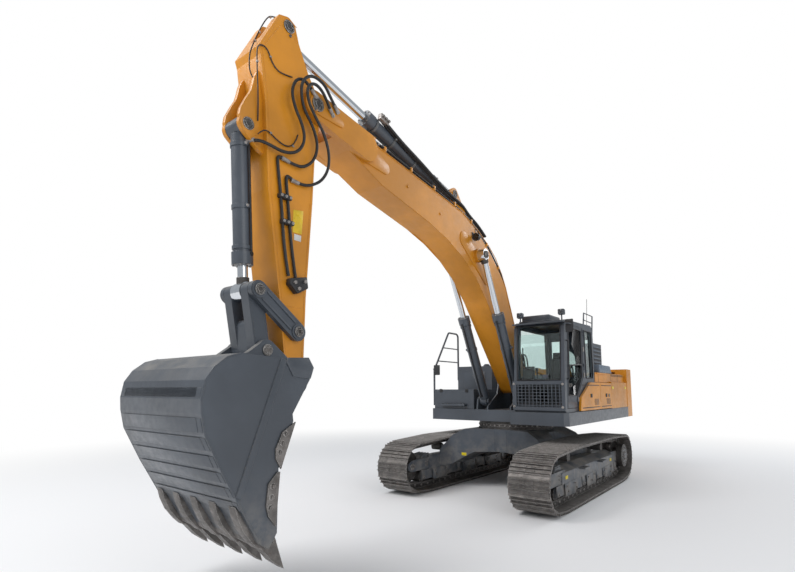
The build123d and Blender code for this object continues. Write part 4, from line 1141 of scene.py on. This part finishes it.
class EXCAVATOR_OT_cab_fittings(bpy.types.Operator):
    """Add the guard's mesh, roof hatch, visor, lamps, gaskets, wiper, hinges, handles, mirror and antenna"""
    bl_idname = "excavator.cab_fittings"
    bl_label = "Cab fittings"

    def execute(self, context):
        work, dark = Work("cab_fittings"), Work("cab_rubber")
        lens, bright = Work("cab_lamp_lenses"), Work("cab_bright_fittings")
        uprights, rails = 12, 7                                             # bars of the guard's mesh
        for i in range(uprights):
            y = 590 + 800 * (i + 0.5) / uprights
            work.box((1212, y - 7, 1592), (1226, y + 7, 1968), 2)
        for i in range(rails):
            z = 1590 + 380 * (i + 0.5) / rails
            work.box((1210, 592, z - 6), (1222, 1388, z + 6), 2)
        for y, z in ((546, 1983), (1412, 1975), (546, 1591), (1405, 1591)):
            bright.bolt((1229, y, z), X, 26)
        for (x0, y0), (x1, y1), z, rise, bevel in (((290, 530), (910, 1130), 3098, 30, 8),      # the roof hatch
                                                   ((330, 565), (870, 1095), 3120, 110, 26)):
            work.prism([Vector((x, y, z)) for x, y in ((x0, y0), (x1, y0), (x1, y1), (x0, y1))],
                       Z * rise, bevel)
        work.plate([(1066, 3070), (1262, 3042), (1254, 3016), (1078, 3038)], 552, 1438, 5)
        for y in (635, 1385):
            work.plate([(1040, 3160), (1120, 3168), (1120, 3262), (1040, 3256)], y - 55, y + 55, 14)
            work.rod((1075, y, 3080), (1075, y, 3170), 12, 12)
            lens.plate([(1118, 3174), (1126, 3176), (1126, 3256), (1118, 3254)], y - 46, y + 46, 3)
            dark.row((1030, y - 48, 3176), (1042, y + 48, 3184), (0, 0, 22), 4, 2)
        for outline in (((1203, 605, 2050), (1203, 1372, 2050), (1146, 1372, 2992), (1146, 605, 2992)),
                        ((1203, 605, 1640), (1203, 1372, 1640), (1203, 1372, 1990), (1203, 605, 1990))):
            dark.line([*outline, outline[0]], 12, 10)
        dark.line([(1178, 1120, 2110), (1170, 760, 2250), (1166, 700, 2262)], 7, 8)
        dark.line([(1166, 700, 2262), (1154, 700, 2540)], 5, 8)
        dark.box((1148, 692, 2300), (1168, 708, 2620), 3)
        work.box((1165, 1060, 2080), (1206, 1160, 2140), 8)
        dark.gasket(((60, 2100), (100, 2980), (-300, 2980), (-360, 2200), (-330, 2100)), 1444)
        dark.gasket(((1040, 1900), (950, 2980), (-300, 2980), (-360, 2000)), 537)
        for x, z in ((575, 1720), (205, 2150), (205, 2620)):                 # the door's hinges
            bright.rod((x, 1452, z - 40), (x, 1452, z + 40), 14, 16)
        dark.line([(1120, 1452, 2060), (1126, 1492, 2080), (1104, 1492, 2700), (1096, 1452, 2720)], 13, 12)
        work.line([(1160, 1430, 2990), (1172, 1520, 2998), (1130, 1560, 2985)], 11, 12)
        dark.box((1112, 1460, 2850), (1136, 1592, 3072), 12)
        dark.line([(-300, 1380, 3100), (-330, 1385, 3420), (-345, 1388, 3640)], 4, 6)
        dark.row((-456, 700, 2300), (-448, 760, 2330), (0, 90, 0), 6, 3)
        work.done("house", finish_of("slate"))
        dark.done("house", moulded("black"))
        lens.done("house", glass("lamp"))
        bright.done("house", bare_steel("bright"))
        door, handle = Work("door_gasket"), Work("door_handle")
        pane = [(1020, 1790), (600, 1780), (300, 2120), (280, 2950), (930, 2970)]       # the door's window
        door.gasket(pane, 1437)
        door.gasket(((1090, 1570), (600, 1570), (560, 1770), (230, 2110), (200, 3010), (980, 3030)), 1440, 6, 8)
        door.line([(300, 1444, 2320), (480, 1475, 2330), (940, 1475, 2300), (1010, 1444, 2290)], 13, 12)
        handle.box((880, 1438, 1930), (1010, 1452, 1990), 5)
        handle.box((905, 1450, 1946), (990, 1472, 1972), 8)
        door.done("cab_door", moulded("black"))
        handle.done("cab_door", bare_steel("dark"))
        zoned("cab_door", "cab_door", (finish_of("slate"), glass("cab")),
              lambda centre: 1 if 1.41 < centre.y < 1.4185 and inside(centre, pane) else 0)
        return {"FINISHED"}


SWELL = 0.008           # most that a cushion's surface moves, in metres


class EXCAVATOR_OT_cab_inside(bpy.types.Operator):
    """Add the seat's cushions, the levers, the screen and the pedals"""
    bl_idname = "excavator.cab_inside"
    bl_label = "Cab interior"

    def execute(self, context):
        levers, screen = Work("cab_levers"), Work("cab_screen")
        for y in (660, 1320):
            levers.line([(420, y, 2075), (430, y, 2160), (450, y, 2230)], 14, 12)
            levers.rod((448, y, 2225), (462, y, 2290), 24, 16, 30)
            levers.ring((420, y, 2082), Z, 34, 10, 24, 8)
        for y in (900, 1080):
            levers.line([(980, y, 1560), (960, y, 1800), (930, y, 2010)], 10, 10)
            levers.box((1010, y - 50, 1585), (1100, y + 50, 1605), 5)
        screen.box((880, 618, 2150), (915, 802, 2300), 10)
        screen.row((876, 640, 2162), (884, 660, 2176), (0, 32, 0), 5, 2)
        levers.done("house", moulded("black"))
        screen.done("house", moulded("grey"))
        for name, low, high in (("seat_cushion", (30, 800, 1975), (510, 1220, 2050)),
                                ("seat_back_cushion", (5, 800, 2090), (80, 1220, 2500))):
            pad = Work(name)
            pad.box(low, high, 26)
            cushion = pad.done(None, moulded("fabric"))
            self.swell(cushion)
            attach(cushion, "house")
        return {"FINISHED"}

    def swell(self, cushion):
        """Fills the cushion out by a short cloth pass, within a few millimetres of its block."""
        remesh = cushion.modifiers.new("even", "REMESH")
        remesh.mode, remesh.voxel_size = "VOXEL", 0.018
        even = evaluated(cushion)
        cushion.modifiers.clear()
        cushion.data = even
        rest = [v.co.copy() for v in even.vertices]
        scene = bpy.context.scene
        cloth = cushion.modifiers.new("cloth", "CLOTH")
        cloth.settings.use_pressure = True
        cloth.settings.uniform_pressure_force = 4
        cloth.settings.effector_weights.gravity = 0
        cloth.point_cache.frame_start, cloth.point_cache.frame_end = 1, 20
        for step in range(1, 21):
            scene.frame_set(step)
        blown = evaluated(cushion)
        cushion.modifiers.clear()
        for vert, moved, was in zip(even.vertices, blown.vertices, rest):
            step = moved.co - was
            vert.co = was + (step if step.length < SWELL else step.normalized() * SWELL)
        scene.frame_set(1)
        smooth = cushion.modifiers.new("soft", "SUBSURF")
        smooth.levels = smooth.render_levels = 1
        shade(cushion.data, 60)


# ---- house ---------------------------------------------------------------------------
class EXCAVATOR_OT_house_left(bpy.types.Operator):
    """Add the left side's louvres, seams, handle strip, latches, bars and the air box's grille"""
    bl_idname = "excavator.house_left"
    bl_label = "Left side of the house"

    def execute(self, context):
        dark, orange = Work("house_louvres"), Work("house_left_trim")
        marks, bright = Work("house_reflectors"), Work("house_latches")
        # the louvres' slots are small black blocks: painted shade in the openings
        for z in (2172, 2196):
            dark.row((-2600, 1436, z - 7), (-2556, 1443, z + 7), (62, 0, 0), 16, 2)
        for x in (-700, -1600, -2120):
            dark.box((x - 3, 1436, 2036), (x + 3, 1442, 2218), 0)
        orange.box((-1180, 1438, 2192), (-560, 1462, 2218), 5)
        orange.box((-2640, 1438, 2040), (-1460, 1450, 2056), 3)
        for i in range(6):
            z = 2320 + i * 78
            # the black strip in each gap between the grille's slats is painted shade
            dark.plate([(-1440, z), (-960, z), (-960, z + 40), (-1440, z + 40)], 1296, 1303, 2)
            marks.paint_index = 1                                           # the grille's slats
            marks.box((-1445, 1298, z + 40), (-955, 1312, z + 52), 3)
        marks.paint_index = 0
        dark.box((-2700, 1150, 1310), (-2692, 1430, 1420), 3)
        for x in (-1520, -2560):
            marks.box((x - 60, 1492, 1900), (x + 60, 1497, 1950), 2)
        panel = Work("slanted_panel")
        panel.plate(((-760, 2384), (-1560, 2372), (-1672, 2226), (-822, 2226)), 1436, 1442, 2)
        panel.plate(((-800, 2222), (-1640, 2222), (-1560, 2380), (-770, 2384)), 1300, 1438, 14)
        panel.done("house", reflector("box"))
        bright.box((-1260, 1490, 1740), (-1180, 1500, 1800), 4)
        dark.done("house", moulded("black"), smooth=False)
        orange.done("house", finish_of("amber"))
        marks.done("house", reflector("yellow"), reflector("box"))
        bright.done("house", bare_steel("mid"))
        for node, x0, x1 in (("side_door_front", -560, 470), ("side_door_rear", -1370, -690)):
            trim, middle = Work(f"{node}_trim"), (x0 + x1) / 2
            for z in (1560, 1966):
                trim.box((x0, 1488, z - 7), (x1, 1498, z + 7), 3)
            trim.box((middle - 46, 1488, 1740), (middle + 46, 1502, 1810), 6)
            trim.row((x0 + 60, 1489, 1600), (x0 + 330, 1496, 1606), (0, 0, 15), 8, 1)
            trim.done(node, moulded("black"))
        bars = Work("rear_rail")
        bars.line([(-380, 1290, 3105), (-440, 1290, 3390), (-985, 1290, 3385), (-1080, 1235, 2830)], 13, 12)
        bars.line([(-395, 1290, 3250), (-1000, 1286, 3240)], 10, 10)
        bars.done("house", finish_of("slate"))
        return {"FINISHED"}


class EXCAVATOR_OT_house_right(bpy.types.Operator):
    """Add the right side's handrail bars, mirror, steps and latches, and the hoses at the boom's foot"""
    bl_idname = "excavator.house_right"
    bl_label = "Right side and centre of the house"

    def execute(self, context):
        rail, dark = Work("handrail_bars"), Work("right_mirror")
        bright, work = Work("right_fittings"), Work("tank_fittings")
        rail.line([(520, -1510, 2500), (-300, -1510, 2500)], 13, 12)
        rail.line([(330, -1510, 2800), (-300, -1510, 2800)], 13, 12)
        rail.line([(680, -1510, 2280), (745, -1490, 2320), (752, -1440, 2330)], 10, 10)
        dark.box((738, -1474, 2190), (764, -1326, 2400), 12)
        for y in (-1330, -720):
            bright.box((696, y - 34, 1830), (712, y + 34, 1900), 5)
            bright.rod((712, y, 1872), (722, y, 1872), 14, 16)
        work.box((692, -1300, 1556), (800, -720, 1600), 8)
        work.row((706, -1270, 1598), (790, -1246, 1608), (0, 70, 0), 8, 2)
        work.box((-252, -1330, 1660), (-240, -800, 2280), 6)
        work.rod((-820, -1060, 2398), (-820, -1060, 2452), 75, 32)
        work.rod((-820, -1060, 2450), (-820, -1060, 2474), 52, 24)
        work.row((-2540, -1496, 1640), (-2420, -1488, 2100), (190, 0, 0), 5, 4)
        rail.done("house", finish_of("slate"))
        dark.done("house", moulded("black"))
        bright.done("house", moulded("black"))
        work.done("house", finish_of("slate"))
        cover = Work("centre_cover")
        cover.plate([(-1480, 1502), (-1480, 2205), (-930, 2205), (-760, 1900), (-760, 1502)], -600, 520, 14)
        cover.done("house", finish_of("slate"))
        hood = Work("hood_slots")
        # the hood's slots are black strips laid on it: painted shade in the openings
        hood.row((-2560, -420, 2346), (-2500, 420, 2356), (110, 0, 0), 9, 3)
        hood.done("hood", moulded("black"), smooth=False)
        bundle = Work("foot_manifold")
        bundle.box((-150, -160, 1500), (-50, 160, 1560), 10)
        bundle.done("house", bare_steel("dark"))
        for i in range(6):
            y = -0.125 + i * 0.05
            route = ((-.10, y, 1.515), (-.10, y * 1.1, 1.80), (-.26, y * 1.2, 2.05), (-.34, y * 1.2, 2.32),
                     (-.28, y * 1.15, 2.58), (-.10, y * 1.1, 2.62), (.04, y, 2.42))
            hang(f"foot_hose_{i}", route, 0.016, 10, 12)
        return {"FINISHED"}


# ---- stage ---------------------------------------------------------------------------
class EXCAVATOR_OT_stage(bpy.types.Operator):
    """Set the floor, the soft studio light and the viewpoint"""
    bl_idname = "excavator.stage"
    bl_label = "Stage and camera"

    def execute(self, context):
        s = context.scene.excavator_stage
        self.floor(s)
        self.world(context.scene)
        self.lamps()
        self.camera(context.scene, s)
        context.scene.view_settings.view_transform = "Standard"
        return {"FINISHED"}

    def floor(self, s):
        bm = bmesh.new()
        bmesh.ops.create_grid(bm, x_segments=1, y_segments=1, size=s.floor_size / 2)
        mesh = bpy.data.meshes.new("floor")
        bm.to_mesh(mesh)
        floor = bpy.data.objects.new("floor", mesh)
        bpy.context.scene.collection.objects.link(floor)
        f = Finish("floor_white")
        shade = f.add("ShaderNodeBsdfDiffuse", {"Color": (0.90, 0.90, 0.91, 1)}).outputs[0]
        far = f.add("ShaderNodeVectorMath", {0: f.place}, operation="LENGTH").outputs["Value"]
        glow = f.add("ShaderNodeEmission", {"Color": (1, 1, 1, 1)}).outputs[0]
        blend = f.add("ShaderNodeMixShader", {0: f.ramp(far, 5.5, 16.0), 1: shade, 2: glow}).outputs[0]
        f.tree.links.new(blend, f.tree.nodes["Material Output"].inputs["Surface"])
        mesh.materials.append(f.material)

    def world(self, scene):
        world = bpy.data.worlds.new("studio")
        world.use_nodes = True
        tree = world.node_tree
        tree.nodes.clear()
        path = tree.nodes.new("ShaderNodeLightPath")
        direct = tree.nodes.new("ShaderNodeMath")
        direct.operation = "MAXIMUM"
        tree.links.new(path.outputs["Is Camera Ray"], direct.inputs[0])
        tree.links.new(path.outputs["Is Transmission Ray"], direct.inputs[1])
        ambient = tree.nodes.new("ShaderNodeBackground")
        ambient.inputs["Color"].default_value = (0.92, 0.96, 1.0, 1)
        ambient.inputs["Strength"].default_value = 0.47
        white = tree.nodes.new("ShaderNodeBackground")
        white.inputs["Strength"].default_value = 1.0
        white.inputs["Color"].default_value = (1, 1, 1, 1)
        mix = tree.nodes.new("ShaderNodeMixShader")
        out = tree.nodes.new("ShaderNodeOutputWorld")
        tree.links.new(direct.outputs[0], mix.inputs[0])
        tree.links.new(ambient.outputs[0], mix.inputs[1])
        tree.links.new(white.outputs[0], mix.inputs[2])
        tree.links.new(mix.outputs[0], out.inputs["Surface"])
        scene.world = world

    def lamps(self):
        """A broad key from the front left, a softer fill and a rim from behind."""
        for name, place, aim, size, power in (
            ("key", (13, -5, 14), (2, 0, 2), 9, 1600),
            ("fill", (8, 15, 6), (2, 0, 2), 10, 560),
            ("rim", (-12, 4, 12), (0, 0, 2), 8, 600),
        ):
            lamp = bpy.data.lights.new(name, "AREA")
            lamp.size = size
            lamp.energy = power
            obj = bpy.data.objects.new(name, lamp)
            obj.location = place
            obj.rotation_euler = (Vector(aim) - Vector(place)).to_track_quat("-Z", "Y").to_euler()
            bpy.context.scene.collection.objects.link(obj)

    def camera(self, scene, s):
        data = bpy.data.cameras.new("camera")
        data.sensor_width = 36
        data.lens = s.lens
        data.shift_y = 0.0664
        data.clip_end = 500
        camera = bpy.data.objects.new("camera", data)
        camera.location = s.camera_place
        camera.rotation_euler = (radians(90) + s.camera_pitch, 0, s.camera_heading - radians(90))
        scene.collection.objects.link(camera)
        scene.camera = camera


# ---- add-on ---------------------------------------------------------------------------
STEPS = (EXCAVATOR_OT_stage, EXCAVATOR_OT_frame_finishes, EXCAVATOR_OT_track_hardware,
         EXCAVATOR_OT_wheel_hardware, EXCAVATOR_OT_frame_hardware, EXCAVATOR_OT_boom_plates,
         EXCAVATOR_OT_boom_lines, EXCAVATOR_OT_boom_lamp, EXCAVATOR_OT_arm_plates, EXCAVATOR_OT_arm_lines,
         EXCAVATOR_OT_tip_hoses, EXCAVATOR_OT_cylinder_trim, EXCAVATOR_OT_bucket_fittings,
         EXCAVATOR_OT_linkage_fittings, EXCAVATOR_OT_cab_fittings, EXCAVATOR_OT_cab_inside,
         EXCAVATOR_OT_house_left, EXCAVATOR_OT_house_right)


class EXCAVATOR_PT_panel(bpy.types.Panel):
    """Sizes, colours and steps of the excavator's looks"""
    bl_idname = "EXCAVATOR_PT_panel"
    bl_label = "Excavator"
    bl_space_type = "VIEW_3D"
    bl_region_type = "UI"
    bl_category = "Excavator"

    def draw(self, context):
        for settings in (context.scene.excavator_paint, context.scene.excavator_stage):
            for key in settings.__annotations__:
                self.layout.prop(settings, key)
        for step in STEPS:
            self.layout.operator(step.bl_idname)


CLASSES = (PaintSettings, StageSettings, *STEPS, EXCAVATOR_PT_panel)


def register():
    for cls in CLASSES:
        bpy.utils.register_class(cls)
    bpy.types.Scene.excavator_paint = PointerProperty(type=PaintSettings)
    bpy.types.Scene.excavator_stage = PointerProperty(type=StageSettings)


def unregister():
    del bpy.types.Scene.excavator_stage
    del bpy.types.Scene.excavator_paint
    for cls in reversed(CLASSES):
        bpy.utils.unregister_class(cls)


def main():
    """Runs every step in order."""
    register()
    for step in STEPS:
        group, name = step.bl_idname.split(".")
        getattr(getattr(bpy.ops, group), name)()


if __name__ == "__main__":
    main()
